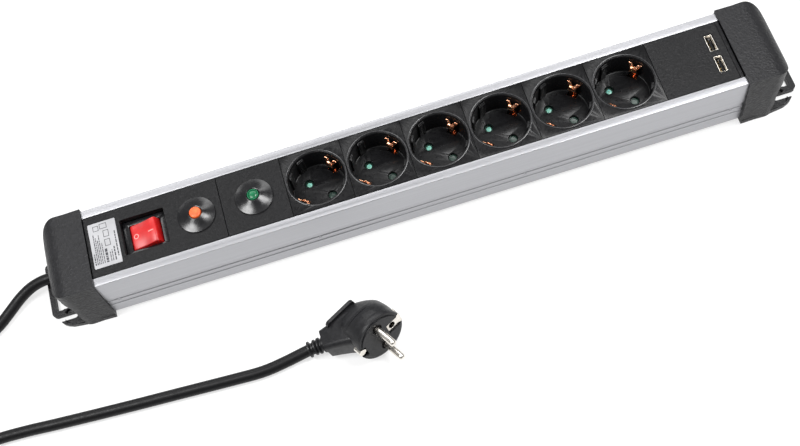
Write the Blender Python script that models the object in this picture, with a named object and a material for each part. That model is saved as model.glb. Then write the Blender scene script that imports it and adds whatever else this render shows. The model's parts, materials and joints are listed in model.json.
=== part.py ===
"""Desk power strip: an aluminium profile with six earthed sockets, a rocker switch, a breaker button,
a lamp, two charging ports and a mains cord with an angled plug.

The strip lies along X, its cord leaves at -X, and Z is up. The origin is the middle of its footprint.
Sizes below are millimetres; MM turns them into metres where a mesh is made.
"""
import math

import bmesh
import bpy
from mathutils import Matrix, Vector

MM = 0.001
GAP = 0.3

# Aluminium profile
PROFILE_HALF_WIDTH = 29.6
PROFILE_HALF_LENGTH = 238.0
PROFILE_BASE = 2.0
TOP = 48.0
PROFILE_WALL = 1.8
LIP_EDGE = 23.3
LIP_UNDERSIDE = 45.6
LEDGE_TOP = 42.9
LEDGE_EDGE = 25.6
LEDGE_THICKNESS = 1.2
GROOVE_HEIGHTS = (15.8, 21.8)
GROOVE_HALF_WIDTH = 1.9
GROOVE_DEPTH = 0.55
SCREW_PORT_Y = 24.4
SCREW_PORT_Z = 35.5
SCREW_PORT_INNER = 1.9
SCREW_PORT_OUTER = 3.3

# Covers, which slide in under the profile's lips
COVER_HALF_WIDTH = 23.0
COVER_TOP = 47.9
COVER_UNDERSIDE = 43.2
FLANGE_HALF_WIDTH = 27.2
FLANGE_TOP = 45.3
SWITCH_COVER_X = (-228.0, -131.65)
INDICATOR_COVER_X = (-131.35, -85.9)
USB_COVER_X = (175.4, 225.1)
SPACER_X = (225.4, 228.0)

# Sockets
SOCKET_COUNT = 6
SOCKET_PITCH = 43.5
FIRST_SOCKET_X = -64.0
SOCKET_RIM_RADIUS = 20.1
SOCKET_WELL_RADIUS = 19.4
SOCKET_SHELL_RADIUS = 20.9
SOCKET_FLOOR = 30.5
SOCKET_UNDERSIDE = 28.5
PIN_OFFSET = 9.5
PIN_HOLE_RADIUS = 3.0
EARTH_AXIS_ANGLE = math.radians(45)
PIN_AXIS_ANGLE = math.radians(135)
CLIP_SLOT = (15.4, 19.2)
CLIP_SLOT_HALF_WIDTH = 3.5
BOSS_RADIUS = 1.5
BOSS_BOTTOM = 25.4

# Shutters and earth clips
SHUTTER_PAD_RADIUS = 4.3
SHUTTER_Z = (26.7, 28.2)
CLIP_HALF_WIDTH = 3.0
CLIP_STRAP_Z = (23.4, 24.4)
CLIP_OUTER = 18.6
CLIP_THICKNESS = 0.9
CLIP_BULGE = 16.1
CLIP_TOP = 44.4

# Busbars
BUSBAR_Z = (9.0, 10.0)
BUSBAR_LEAF_TOP = 22.0
BUSBAR_LEAF_THICKNESS = 0.8
BUSBAR_LEAF_GAP = 4.2
BUSBAR_HALF_WIDTH = 3.0
BUSBAR_X = (-160.0, 164.0)
EARTH_BUSBAR_Z = (22.1, 23.1)

# Rocker switch, hinged along Y
ROCKER_X = -187.0
ROCKER_PIVOT_Z = 39.5
ROCKER_REST_TILT = math.radians(-14)
ROCKER_HALF_WIDTH = 9.3
ROCKER_SWEEP_RADIUS = 10.8
ROCKER_PIN_RADIUS = 1.2
WELL_HALF = (15.8, 13.6)
SWITCH_BEZEL_HALF = (17.5, 15.0)
SWITCH_BEZEL_Z = (41.2, 42.9)
SWITCH_BODY_HALF = (14.0, 11.3)
SWITCH_BODY_BOTTOM = 20.0
SWITCH_OPENING_HALF = (11.2, 9.7)
SWITCH_OPENING_BOTTOM = 26.0

# Breaker button and lamp, each on a cone-shaped bezel
BREAKER_X = -149.5
INDICATOR_X = -108.4
BEZEL_BASE_RADIUS = 13.2
BEZEL_TOP_RADIUS = 6.6
BEZEL_BORE_RADIUS = 4.6
BEZEL_NECK_RADIUS = 7.6
BEZEL_BASE_Z = 48.2
BEZEL_TOP_Z = 51.8
BEZEL_NECK_BOTTOM = 44.0
KNOB_RADIUS = 4.2
BUTTON_Z = (44.5, 53.0)
LENS_Z = (44.5, 52.6)

# Charging ports
PORT_X = 217.2
PORT_Y = (8.6, -8.6)
PORT_HALF = (2.65, 6.45)
PORT_WALL = 0.35
PORT_Z = (32.5, 47.6)

# Rating label in its shallow recess
LABEL_X = (-225.4, -205.6)
LABEL_HALF_WIDTH = 17.2
LABEL_Z = (47.8, 48.0)
LABEL_RECESS_Z = 47.5

# End caps
CAP_EDGE = 228.2
CAP_EDGE_LEAN = 2.4
CAP_END = 261.5
CAP_END_BULGE = 5.5
CAP_TOP_HALF_WIDTH = 30.9
CAP_BASE_HALF_WIDTH = 33.2
CAP_TOP = 49.6
CAP_TOP_ROUND = 15.0
CAP_CORNER_ROUND = 12.0
CAP_BASE_HEIGHT = 4.0
CAP_FLOOR = 2.4
EAR_END = 275.5
EAR_HALF_WIDTH = 21.3
EAR_CHAMFER = 2.6
TONGUE_EDGE = 26.0
TONGUE_END = 269.8
SLOT_END_X = 259.5
ROOM_END = 247.0
CORRIDOR_END = 259.0
CORRIDOR_HALF_WIDTH = 14.2
EAR_HOLE_X = (262.8, 271.6)
EAR_HOLE_HALF_WIDTH = 17.2
SCOOP_CENTRE = (259.5, 24.6)
SCOOP_OUTLINE = (
    (6.6, 4.0),
    (6.6, 5.8),
    (8.6, 6.0),
    (9.0, 14.0),
    (9.2, 20.0),
    (8.8, 25.0),
    (7.4, 28.5),
    (4.8, 30.6),
    (1.0, 31.3),
)
SCREW_HEAD_X = 255.3
SCREW_HEAD_TOP = 257.0
SCREW_TIP_X = 231.0
SCREW_SHANK_RADIUS = 1.5
SCREW_HEAD_RADIUS = 3.0

# Cord: diameter, where it leaves the left cap, and its coil
CORD_DIAMETER = 8.2
CORD_RADIUS = CORD_DIAMETER / 2
CORD_Y = 7.0
CORD_Z = 10.5
GLAND_X = (-266.2, -239.0)
GLAND_RADII = (5.0, 5.9)
GLAND_FLANGE_RADIUS = 6.9
CAP_CORD_HOLE_RADIUS = 6.3
COIL_CENTRE = (-402.0, -63.0)
COIL_MEAN_RADIUS = 48.5
COIL_HALF_WIDTH = 1.5 * CORD_DIAMETER
COIL_Z = (1.2, 16.5)
TIE_HALF_WIDTH = 5.0
TIE_THICKNESS = 0.7
LEAD_ROUTE = (
    (-266.5, 7.0, 10.5),
    (-276.0, 6.9, 10.0),
    (-286.0, 5.5, 8.0),
    (-296.0, 1.0, 5.8),
    (-306.0, -6.8, 4.6),
    (-315.0, -14.6, 4.3),
    (-326.0, -21.5, 4.3),
    (-339.0, -23.5, 4.5),
    (-354.3, -18.8, 5.2),
)
PLUG_ROUTE = (
    (-351.5, -103.1, 8.8),
    (-339.0, -99.2, 6.3),
    (-326.0, -97.2, 4.7),
    (-305.0, -98.0, 4.3),
    (-283.0, -99.6, 4.3),
    (-240.0, -102.2, 4.3),
    (-200.0, -104.2, 4.3),
    (-160.0, -106.2, 4.3),
    (-138.0, -106.9, 4.3),
    (-122.0, -105.2, 4.5),
    (-104.4, -102.4, 5.4),
)
ROUTE_STEP = 17.0

# Plug: its face centre, its heading about Z and how far its pins point up
PLUG_CENTRE = (-53.2, -112.5, 19.1)
PLUG_HEADING = math.radians(28.7)
PLUG_TILT = math.radians(17)
PLUG_RADIUS = 18.5
PLUG_DEPTH = 32.0
PLUG_PIN_RADIUS = 2.4
PLUG_PIN_LENGTH = 19.0
PLUG_RELIEF_ROUTE = (
    (-79.6, -102.4, 12.0),
    (-88.0, -102.3, 9.1),
    (-96.0, -102.0, 6.9),
    (-103.2, -102.2, 5.4),
)
PLUG_RELIEF_RADII = (7.0, 6.6, 6.0, 5.2)

MATERIALS = {
    "anodised_aluminium": ((0.72, 0.73, 0.75), 0.38, 1.0),
    "black_cap_plastic": ((0.045, 0.045, 0.05), 0.55, 0.0),
    "black_cover_plastic": ((0.03, 0.03, 0.035), 0.5, 0.0),
    "socket_plastic": ((0.02, 0.02, 0.022), 0.25, 0.0),
    "glossy_black": ((0.012, 0.012, 0.014), 0.12, 0.0),
    "shutter_green": ((0.05, 0.42, 0.24), 0.4, 0.0),
    "copper": ((0.85, 0.42, 0.24), 0.3, 1.0),
    "brass": ((0.8, 0.62, 0.3), 0.35, 1.0),
    "nickel": ((0.78, 0.74, 0.68), 0.25, 1.0),
    "rocker_red": ((0.75, 0.02, 0.02), 0.2, 0.0),
    "button_orange": ((0.9, 0.18, 0.03), 0.35, 0.0),
    "lens_green": ((0.02, 0.3, 0.1), 0.15, 0.0),
    "label_silver": ((0.7, 0.7, 0.71), 0.4, 0.6),
    "board_green": ((0.03, 0.2, 0.08), 0.5, 0.0),
    "component_blue": ((0.05, 0.12, 0.4), 0.45, 0.0),
    "component_yellow": ((0.7, 0.5, 0.08), 0.5, 0.0),
    "zinc": ((0.6, 0.6, 0.6), 0.35, 1.0),
    "cord_black": ((0.02, 0.02, 0.02), 0.45, 0.0),
    "plug_black": ((0.025, 0.025, 0.028), 0.4, 0.0),
}


def clear_scene():
    """Remove whatever the scene holds."""
    for item in list(bpy.data.objects):
        bpy.data.objects.remove(item, do_unlink=True)


def material(name):
    """Return the named Principled material, made on first use."""
    found = bpy.data.materials.get(name)
    if found:
        return found
    colour, roughness, metallic = MATERIALS[name]
    made = bpy.data.materials.new(name)
    made.use_nodes = True
    shader = made.node_tree.nodes["Principled BSDF"]
    shader.inputs["Base Color"].default_value = (*colour, 1.0)
    shader.inputs["Roughness"].default_value = roughness
    shader.inputs["Metallic"].default_value = metallic
    return made


def add_object(name, data, finish, parent=None):
    """Link an object that holds the data, with one material."""
    made = bpy.data.objects.new(name, data)
    bpy.context.scene.collection.objects.link(made)
    if finish:
        made.data.materials.append(material(finish))
    made.parent = parent
    return made


def mesh_object(name, points, faces, finish, parent=None):
    """Make a closed mesh from millimetre points and faces, with its faces turned outwards."""
    shape = bmesh.new()
    vertices = [shape.verts.new(Vector(point) * MM) for point in points]
    for face in faces:
        shape.faces.new([vertices[index] for index in face])
    bmesh.ops.recalc_face_normals(shape, faces=shape.faces)
    mesh = bpy.data.meshes.new(name)
    shape.to_mesh(mesh)
    shape.free()
    mesh.shade_smooth()
    mesh.set_sharp_from_angle(angle=math.radians(35))
    return add_object(name, mesh, finish, parent)


def prism(name, outline, axis, low, high, finish, parent=None):
    """Extrude a 2D outline along X (outline in Y, Z), Y (outline in X, Z) or Z (outline in X, Y)."""
    place = {
        "X": lambda a, b, along: (along, a, b),
        "Y": lambda a, b, along: (a, along, b),
        "Z": lambda a, b, along: (a, b, along),
    }[axis]
    count = len(outline)
    points = [place(a, b, low) for a, b in outline] + [place(a, b, high) for a, b in outline]
    faces = [tuple(range(count)), tuple(range(count, 2 * count))]
    for index in range(count):
        following = (index + 1) % count
        faces.append((index, following, count + following, count + index))
    return mesh_object(name, points, faces, finish, parent)


def block(name, low, high, finish, parent=None):
    """Make a box from its lowest and highest corners."""
    outline = [(low[0], low[1]), (high[0], low[1]), (high[0], high[1]), (low[0], high[1])]
    return prism(name, outline, "Z", low[2], high[2], finish, parent)


def circle(radius, count, centre=(0.0, 0.0)):
    """Return points round a circle."""
    turns = [2 * math.pi * index / count for index in range(count)]
    return [
        (centre[0] + radius * math.cos(turn), centre[1] + radius * math.sin(turn))
        for turn in turns
    ]


def arc(centre, radius, start, end, steps):
    """Return points along an arc, both ends included, with angles in degrees."""
    turns = [math.radians(start + (end - start) * step / steps) for step in range(steps + 1)]
    return [
        (centre[0] + radius * math.cos(turn), centre[1] + radius * math.sin(turn))
        for turn in turns
    ]


def loft(name, rings, finish, parent=None, closed=False):
    """Bridge rings with equal point counts; the two ends are capped unless the rings close in a loop."""
    count = len(rings[0])
    points = [point for ring in rings for point in ring]
    faces = []
    last = len(rings) if closed else len(rings) - 1
    for ring in range(last):
        near, far = ring * count, ((ring + 1) % len(rings)) * count
        for index in range(count):
            following = (index + 1) % count
            faces.append((near + index, near + following, far + following, far + index))
    if not closed:
        faces.append(tuple(range(count)))
        faces.append(tuple(range(len(points) - count, len(points))))
    return mesh_object(name, points, faces, finish, parent)


def turned(name, outline, segments, finish, axis="Z", centre=(0.0, 0.0, 0.0), parent=None, ring=False):
    """Turn an outline of (radius, height) pairs about an axis through the centre.

    An open outline is capped flat at both ends; a ring's outline is closed.
    """
    place = {
        "Z": lambda a, b, along: (centre[0] + a, centre[1] + b, centre[2] + along),
        "X": lambda a, b, along: (centre[0] + along, centre[1] + a, centre[2] + b),
        "Y": lambda a, b, along: (centre[0] + a, centre[1] + along, centre[2] + b),
    }[axis]
    rings = [
        [place(a, b, height) for a, b in circle(radius, segments)] for radius, height in outline
    ]
    return loft(name, rings, finish, parent, closed=ring)


def cylinder(name, radius, low, high, axis, centre, segments, finish, parent=None):
    """Make a cylinder along an axis; the centre gives its other two coordinates."""
    return turned(name, [(radius, low), (radius, high)], segments, finish, axis, centre, parent)


def boolean(target, tool, operation):
    """Cut, join or intersect the target with a tool object that is only a guide."""
    tool.hide_render = True
    tool.display_type = "WIRE"
    change = target.modifiers.new(tool.name, "BOOLEAN")
    change.operation = operation
    change.solver = "EXACT"
    change.object = tool


def cut(target, *tools):
    """Take the tools' shapes away from the target."""
    for tool in tools:
        boolean(target, tool, "DIFFERENCE")


def join(target, *tools):
    """Add the tools' shapes to the target."""
    for tool in tools:
        boolean(target, tool, "UNION")


def finished_mesh(source):
    """Return the mesh that the source's modifiers give, so that copies can share it."""
    bpy.context.view_layer.update()
    evaluated = source.evaluated_get(bpy.context.evaluated_depsgraph_get())
    mesh = bpy.data.meshes.new_from_object(evaluated)
    mesh.name = source.name
    return mesh


def make_guide(source):
    """Keep an object as a guide that isn't part of the strip."""
    source.hide_render = True
    source.display_type = "WIRE"


def pivot(name, place, rotation=(0.0, 0.0, 0.0)):
    """Add an empty on a joint's axis."""
    made = bpy.data.objects.new(name, None)
    bpy.context.scene.collection.objects.link(made)
    made.location = Vector(place) * MM
    made.rotation_euler = rotation
    return made


def mirrored_outline(half):
    """Close an outline given for +Y by its mirror image, in reverse order."""
    return list(half) + [(-y, z) for y, z in reversed(half)]


def socket_centres():
    """Return the X of each socket."""
    return [FIRST_SOCKET_X + SOCKET_PITCH * index for index in range(SOCKET_COUNT)]


def housing_profile():
    """Aluminium extrusion: open on top, lips and ledges for the covers, grooves, screw ports."""
    inner = PROFILE_HALF_WIDTH - PROFILE_WALL
    outer = [(0.0, PROFILE_BASE), (PROFILE_HALF_WIDTH - 1.2, PROFILE_BASE)]
    outer.append((PROFILE_HALF_WIDTH, PROFILE_BASE + 1.2))
    for height in GROOVE_HEIGHTS:
        outer.append((PROFILE_HALF_WIDTH, height - GROOVE_HALF_WIDTH))
        outer.append((PROFILE_HALF_WIDTH - GROOVE_DEPTH, height - 0.5 * GROOVE_HALF_WIDTH))
        outer.append((PROFILE_HALF_WIDTH - GROOVE_DEPTH, height + 0.5 * GROOVE_HALF_WIDTH))
        outer.append((PROFILE_HALF_WIDTH, height + GROOVE_HALF_WIDTH))
    outer += [(PROFILE_HALF_WIDTH, TOP - 0.6), (PROFILE_HALF_WIDTH - 0.6, TOP)]
    lip = [(LIP_EDGE, TOP), (LIP_EDGE, LIP_UNDERSIDE), (inner, LIP_UNDERSIDE)]
    ledge = [
        (inner, LEDGE_TOP),
        (LEDGE_EDGE, LEDGE_TOP),
        (LEDGE_EDGE, LEDGE_TOP - LEDGE_THICKNESS),
        (inner, LEDGE_TOP - LEDGE_THICKNESS),
    ]
    centre = (SCREW_PORT_Y, SCREW_PORT_Z)
    port = [(inner, SCREW_PORT_Z + 2.2)]
    port += arc(centre, SCREW_PORT_OUTER, 42, 150, 6)
    port += arc(centre, SCREW_PORT_INNER, 150, -150, 12)
    port += arc(centre, SCREW_PORT_OUTER, -150, -42, 6)
    port += [(inner, SCREW_PORT_Z - 2.2)]
    floor = [(inner, PROFILE_BASE + PROFILE_WALL), (0.0, PROFILE_BASE + PROFILE_WALL)]
    half = outer[1:] + lip + ledge + port + floor[:1]
    outline = mirrored_outline(half)
    prism(
        "housing_profile",
        outline,
        "X",
        -PROFILE_HALF_LENGTH,
        PROFILE_HALF_LENGTH,
        "anodised_aluminium",
    )


def cover(name, span, finish="black_cover_plastic"):
    """T-shaped cover strip between two X positions."""
    half = [
        (FLANGE_HALF_WIDTH, COVER_UNDERSIDE),
        (FLANGE_HALF_WIDTH, FLANGE_TOP),
        (COVER_HALF_WIDTH, FLANGE_TOP),
        (COVER_HALF_WIDTH, COVER_TOP),
    ]
    return prism(name, mirrored_outline(half), "X", span[0], span[1], finish)


def socket_inserts():
    """Six socket wells that share one mesh."""
    half_pitch = SOCKET_PITCH / 2 - GAP / 2
    master = cover("socket_master", (-half_pitch, half_pitch), "socket_plastic")
    shell = [(SOCKET_SHELL_RADIUS, SOCKET_UNDERSIDE), (SOCKET_SHELL_RADIUS, COVER_TOP - 2)]
    well = [
        (SOCKET_WELL_RADIUS - 0.6, SOCKET_FLOOR),
        (SOCKET_WELL_RADIUS, SOCKET_FLOOR + 0.8),
        (SOCKET_WELL_RADIUS, COVER_TOP - 0.7),
        (SOCKET_RIM_RADIUS, COVER_TOP),
        (SOCKET_RIM_RADIUS, COVER_TOP + 1),
    ]
    join(master, turned("socket_shell", shell, 36, None))
    boss = cylinder("socket_boss", BOSS_RADIUS, BOSS_BOTTOM, SOCKET_FLOOR - 1, "Z", (0, 0, 0), 12, None)
    join(master, boss)
    cut(master, turned("socket_well", well, 36, None))
    for side in (-1, 1):
        pin = (
            side * PIN_OFFSET * math.cos(PIN_AXIS_ANGLE),
            side * PIN_OFFSET * math.sin(PIN_AXIS_ANGLE),
            0.0,
        )
        hole = cylinder("pin_hole", PIN_HOLE_RADIUS, 27.0, 32.0, "Z", pin, 14, None)
        slot = block(
            "clip_slot",
            (min(side * CLIP_SLOT[0], side * CLIP_SLOT[1]), -CLIP_SLOT_HALF_WIDTH, 27.0),
            (max(side * CLIP_SLOT[0], side * CLIP_SLOT[1]), CLIP_SLOT_HALF_WIDTH, 32.0),
            None,
        )
        slot.rotation_euler = (0.0, 0.0, EARTH_AXIS_ANGLE)
        cut(master, hole, slot)
    shared = finished_mesh(master)
    make_guide(master)
    for index, centre in enumerate(socket_centres(), start=1):
        insert = add_object(f"socket_insert_{index}", shared, None)
        insert.location = (centre * MM, 0.0, 0.0)


def shutters():
    """Six turning shutters, each a bar with round ends on the socket's centre boss."""
    ends = arc((PIN_OFFSET, 0.0), SHUTTER_PAD_RADIUS, -90, 90, 8)
    ends += arc((-PIN_OFFSET, 0.0), SHUTTER_PAD_RADIUS, 90, 270, 8)
    master = prism("shutter_master", ends, "Z", *SHUTTER_Z, "shutter_green")
    bore = cylinder("shutter_bore", BOSS_RADIUS + GAP, 25.0, 30.0, "Z", (0, 0, 0), 12, None)
    cut(master, bore)
    shared = finished_mesh(master)
    make_guide(master)
    for index, centre in enumerate(socket_centres(), start=1):
        axis = pivot(f"shutter_axis_{index}", (centre, 0.0, 0.0), (0.0, 0.0, PIN_AXIS_ANGLE))
        add_object(f"shutter_{index}", shared, None, axis)


def earth_clips():
    """Six U-shaped earth contacts whose fingers bulge into the socket."""
    inner = CLIP_OUTER - CLIP_THICKNESS
    half = [
        (CLIP_OUTER, CLIP_STRAP_Z[0]),
        (CLIP_OUTER, 33.0),
        (CLIP_BULGE + CLIP_THICKNESS, 38.5),
        (CLIP_OUTER - 0.3, CLIP_TOP),
        (CLIP_OUTER - 0.3 - CLIP_THICKNESS, CLIP_TOP),
        (CLIP_BULGE, 38.4),
        (inner, 32.8),
        (inner, CLIP_STRAP_Z[1]),
    ]
    shared = None
    for index, centre in enumerate(socket_centres(), start=1):
        name = f"earth_clip_{index}"
        if shared is None:
            outline = mirrored_outline(half)
            clip = prism(name, outline, "Y", -CLIP_HALF_WIDTH, CLIP_HALF_WIDTH, "copper")
            shared = clip.data
        else:
            clip = add_object(name, shared, None)
        clip.location = (centre * MM, 0.0, 0.0)
        clip.rotation_euler = (0.0, 0.0, EARTH_AXIS_ANGLE)


def busbars():
    """Live and neutral bars with a pair of leaves under each pin hole, and the earth bar."""
    offset = PIN_OFFSET * math.sin(PIN_AXIS_ANGLE)
    for name, side in (("live_busbar", -1), ("neutral_busbar", 1)):
        outline = [(BUSBAR_X[0], BUSBAR_Z[0]), (BUSBAR_X[0], BUSBAR_Z[1])]
        for centre in socket_centres():
            pin = centre - side * offset
            for edge in (-1, 1):
                near = pin + edge * BUSBAR_LEAF_GAP / 2
                far = near + edge * BUSBAR_LEAF_THICKNESS
                left, right = min(near, far), max(near, far)
                outline += [
                    (left, BUSBAR_Z[1]),
                    (left, BUSBAR_LEAF_TOP),
                    (right, BUSBAR_LEAF_TOP),
                    (right, BUSBAR_Z[1]),
                ]
        outline += [(BUSBAR_X[1], BUSBAR_Z[1]), (BUSBAR_X[1], BUSBAR_Z[0])]
        middle = side * offset
        low, high = middle - BUSBAR_HALF_WIDTH, middle + BUSBAR_HALF_WIDTH
        prism(name, outline, "Y", low, high, "brass")
    block(
        "earth_busbar",
        (BUSBAR_X[0], -2.0, EARTH_BUSBAR_Z[0]),
        (BUSBAR_X[1], 2.0, EARTH_BUSBAR_Z[1]),
        "brass",
    )


def switch_module():
    """Cover with the switch well, breaker hole and label recess, and the switch in it."""
    module = cover("switch_cover", SWITCH_COVER_X)
    well = block(
        "switch_well",
        (ROCKER_X - WELL_HALF[0], -WELL_HALF[1], 40.0),
        (ROCKER_X + WELL_HALF[0], WELL_HALF[1], 50.0),
        None,
    )
    recess = block(
        "label_recess",
        (LABEL_X[0] - GAP, -LABEL_HALF_WIDTH - GAP, LABEL_RECESS_Z),
        (LABEL_X[1] + GAP, LABEL_HALF_WIDTH + GAP, 50.0),
        None,
    )
    cut(module, well, recess, bezel_hole("breaker_hole", BREAKER_X))
    block(
        "rating_label",
        (LABEL_X[0], -LABEL_HALF_WIDTH, LABEL_Z[0]),
        (LABEL_X[1], LABEL_HALF_WIDTH, LABEL_Z[1]),
        "label_silver",
    )
    body = block(
        "rocker_switch_body",
        (ROCKER_X - SWITCH_BODY_HALF[0], -SWITCH_BODY_HALF[1], SWITCH_BODY_BOTTOM),
        (ROCKER_X + SWITCH_BODY_HALF[0], SWITCH_BODY_HALF[1], SWITCH_BEZEL_Z[0] + 1),
        "black_cover_plastic",
    )
    bezel = block(
        "switch_bezel",
        (ROCKER_X - SWITCH_BEZEL_HALF[0], -SWITCH_BEZEL_HALF[1], SWITCH_BEZEL_Z[0]),
        (ROCKER_X + SWITCH_BEZEL_HALF[0], SWITCH_BEZEL_HALF[1], SWITCH_BEZEL_Z[1]),
        None,
    )
    opening = block(
        "switch_opening",
        (ROCKER_X - SWITCH_OPENING_HALF[0], -SWITCH_OPENING_HALF[1], SWITCH_OPENING_BOTTOM),
        (ROCKER_X + SWITCH_OPENING_HALF[0], SWITCH_OPENING_HALF[1], 50.0),
        None,
    )
    centre = (ROCKER_X, 0.0, ROCKER_PIVOT_Z)
    reach = SWITCH_BODY_HALF[1] + 1
    bearing = cylinder(
        "rocker_bearing", ROCKER_PIN_RADIUS + GAP, -reach, reach, "Y", centre, 12, None
    )
    join(body, bezel)
    cut(body, opening, bearing)


def rocker():
    """Red rocker on its pivot pins, resting with its -X end pressed."""
    axis = pivot(
        "rocker_axis", (ROCKER_X, 0.0, ROCKER_PIVOT_Z), (0.0, ROCKER_REST_TILT, 0.0)
    )
    half = [
        (3.0, -6.5),
        (9.2, -4.8),
        (10.5, -2.4),
        (ROCKER_SWEEP_RADIUS, 0.0),
        (10.5, 2.4),
        (9.8, 4.4),
        (8.5, 6.0),
    ]
    outline = mirrored_outline(half)
    made = prism(
        "rocker", outline, "Y", -ROCKER_HALF_WIDTH, ROCKER_HALF_WIDTH, "rocker_red", axis
    )
    reach = SWITCH_OPENING_HALF[1] + 0.8
    pins = cylinder("rocker_pins", ROCKER_PIN_RADIUS, -reach, reach, "Y", (0, 0, 0), 12, None, axis)
    join(made, pins)


def bezel_hole(name, centre):
    """Cutter for the hole that a cone bezel's neck sits in."""
    return cylinder(name, BEZEL_NECK_RADIUS + GAP, 40.0, 50.0, "Z", (centre, 0, 0), 28, None)


def bezel(name, centre):
    """Glossy cone with a bore, standing on the cover, with a neck through it."""
    outline = [
        (BEZEL_BORE_RADIUS, BEZEL_NECK_BOTTOM),
        (BEZEL_NECK_RADIUS, BEZEL_NECK_BOTTOM),
        (BEZEL_NECK_RADIUS, BEZEL_BASE_Z),
        (BEZEL_BASE_RADIUS, BEZEL_BASE_Z),
        (BEZEL_BASE_RADIUS, BEZEL_BASE_Z + 0.4),
        (BEZEL_TOP_RADIUS, BEZEL_TOP_Z),
        (BEZEL_BORE_RADIUS, BEZEL_TOP_Z),
    ]
    turned(name, outline, 28, "glossy_black", centre=(centre, 0, 0), ring=True)


def knob(name, place, height, finish, parent=None):
    """Round plug with a softly domed top, for the breaker button and the lamp's lens."""
    low, high = height
    outline = [
        (KNOB_RADIUS, low),
        (KNOB_RADIUS, high - 0.9),
        (KNOB_RADIUS - 0.5, high - 0.35),
        (KNOB_RADIUS - 1.9, high),
    ]
    turned(name, outline, 20, finish, centre=place, parent=parent)


def breaker_and_lamp():
    """Breaker with its sliding button, and the indicator module with its lamp."""
    bezel("breaker_bezel", BREAKER_X)
    slide = pivot("breaker_slide", (BREAKER_X, 0.0, 0.0))
    knob("breaker_button", (0, 0, 0), BUTTON_Z, "button_orange", slide)
    block(
        "breaker_body", (BREAKER_X - 12.0, -9.0, 24.0), (BREAKER_X + 12.0, 9.0, 41.5), "glossy_black"
    )
    module = cover("indicator_cover", INDICATOR_COVER_X)
    cut(module, bezel_hole("indicator_hole", INDICATOR_X))
    bezel("indicator_bezel", INDICATOR_X)
    knob("indicator_lens", (INDICATOR_X, 0, 0), LENS_Z, "lens_green")
    block("surge_board", (-128.0, -20.0, 26.0), (-90.0, 20.0, 27.6), "board_green")
    cylinder("surge_varistor", 7.0, -2.3, 2.3, "Y", (-100.0, 10.0, 35.0), 20, "component_blue")


def usb_module():
    """Cover with two port shells, and the supply board under them."""
    module = cover("usb_cover", USB_COVER_X)
    for index, middle in enumerate(PORT_Y, start=1):
        shell = block(
            f"usb_port_{index}",
            (PORT_X - PORT_HALF[0], middle - PORT_HALF[1], PORT_Z[0]),
            (PORT_X + PORT_HALF[0], middle + PORT_HALF[1], PORT_Z[1]),
            "nickel",
        )
        inner = (PORT_HALF[0] - PORT_WALL, PORT_HALF[1] - PORT_WALL)
        mouth = block(
            f"port_mouth_{index}",
            (PORT_X - inner[0], middle - inner[1], PORT_Z[0] + 1.0),
            (PORT_X + inner[0], middle + inner[1], 50.0),
            None,
        )
        window = block(
            f"port_window_{index}",
            (PORT_X - PORT_HALF[0] - GAP, middle - PORT_HALF[1] - GAP, 40.0),
            (PORT_X + PORT_HALF[0] + GAP, middle + PORT_HALF[1] + GAP, 50.0),
            None,
        )
        cut(shell, mouth)
        cut(module, window)
    block("usb_board", (183.0, -20.0, 30.4), (224.0, 20.0, 32.0), "board_green")
    block("usb_transformer", (186.0, -9.0, 12.0), (206.0, 9.0, 30.0), "component_yellow")
    block(
        "end_spacer",
        (SPACER_X[0], -COVER_HALF_WIDTH, COVER_UNDERSIDE),
        (SPACER_X[1], COVER_HALF_WIDTH, COVER_TOP - 0.2),
        "glossy_black",
    )


def cap_base_outline():
    """Plan of a cap's base plate at +X: bulged sides, open screw slots, chamfered ear."""
    slot_middle = (EAR_HALF_WIDTH + TONGUE_EDGE) / 2
    slot_radius = (TONGUE_EDGE - EAR_HALF_WIDTH) / 2
    half = [
        (EAR_END, EAR_HALF_WIDTH - EAR_CHAMFER),
        (EAR_END - EAR_CHAMFER, EAR_HALF_WIDTH),
        (SLOT_END_X, EAR_HALF_WIDTH),
    ]
    half += arc((SLOT_END_X, slot_middle), slot_radius, 270, 90, 8)[1:-1]
    half += [
        (SLOT_END_X, TONGUE_EDGE),
        (TONGUE_END, TONGUE_EDGE),
        (TONGUE_END, TONGUE_EDGE + 0.9),
        (TONGUE_END - 1.6, TONGUE_EDGE + 2.2),
        (262.0, CAP_BASE_HALF_WIDTH - 2.2),
        (252.0, CAP_BASE_HALF_WIDTH - 1.0),
        (240.0, CAP_BASE_HALF_WIDTH - 0.3),
        (CAP_EDGE + CAP_EDGE_LEAN, CAP_BASE_HALF_WIDTH),
    ]
    return half + [(x, -y) for x, y in reversed(half)]


def placed(outline, side):
    """Mirror an outline's first coordinate for the cap at -X."""
    return [(side * a, b) for a, b in outline]


def span(side, low, high):
    """Return an X range of the +X cap, mirrored for the cap at -X, in rising order."""
    return (low, high) if side > 0 else (-high, -low)


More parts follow.
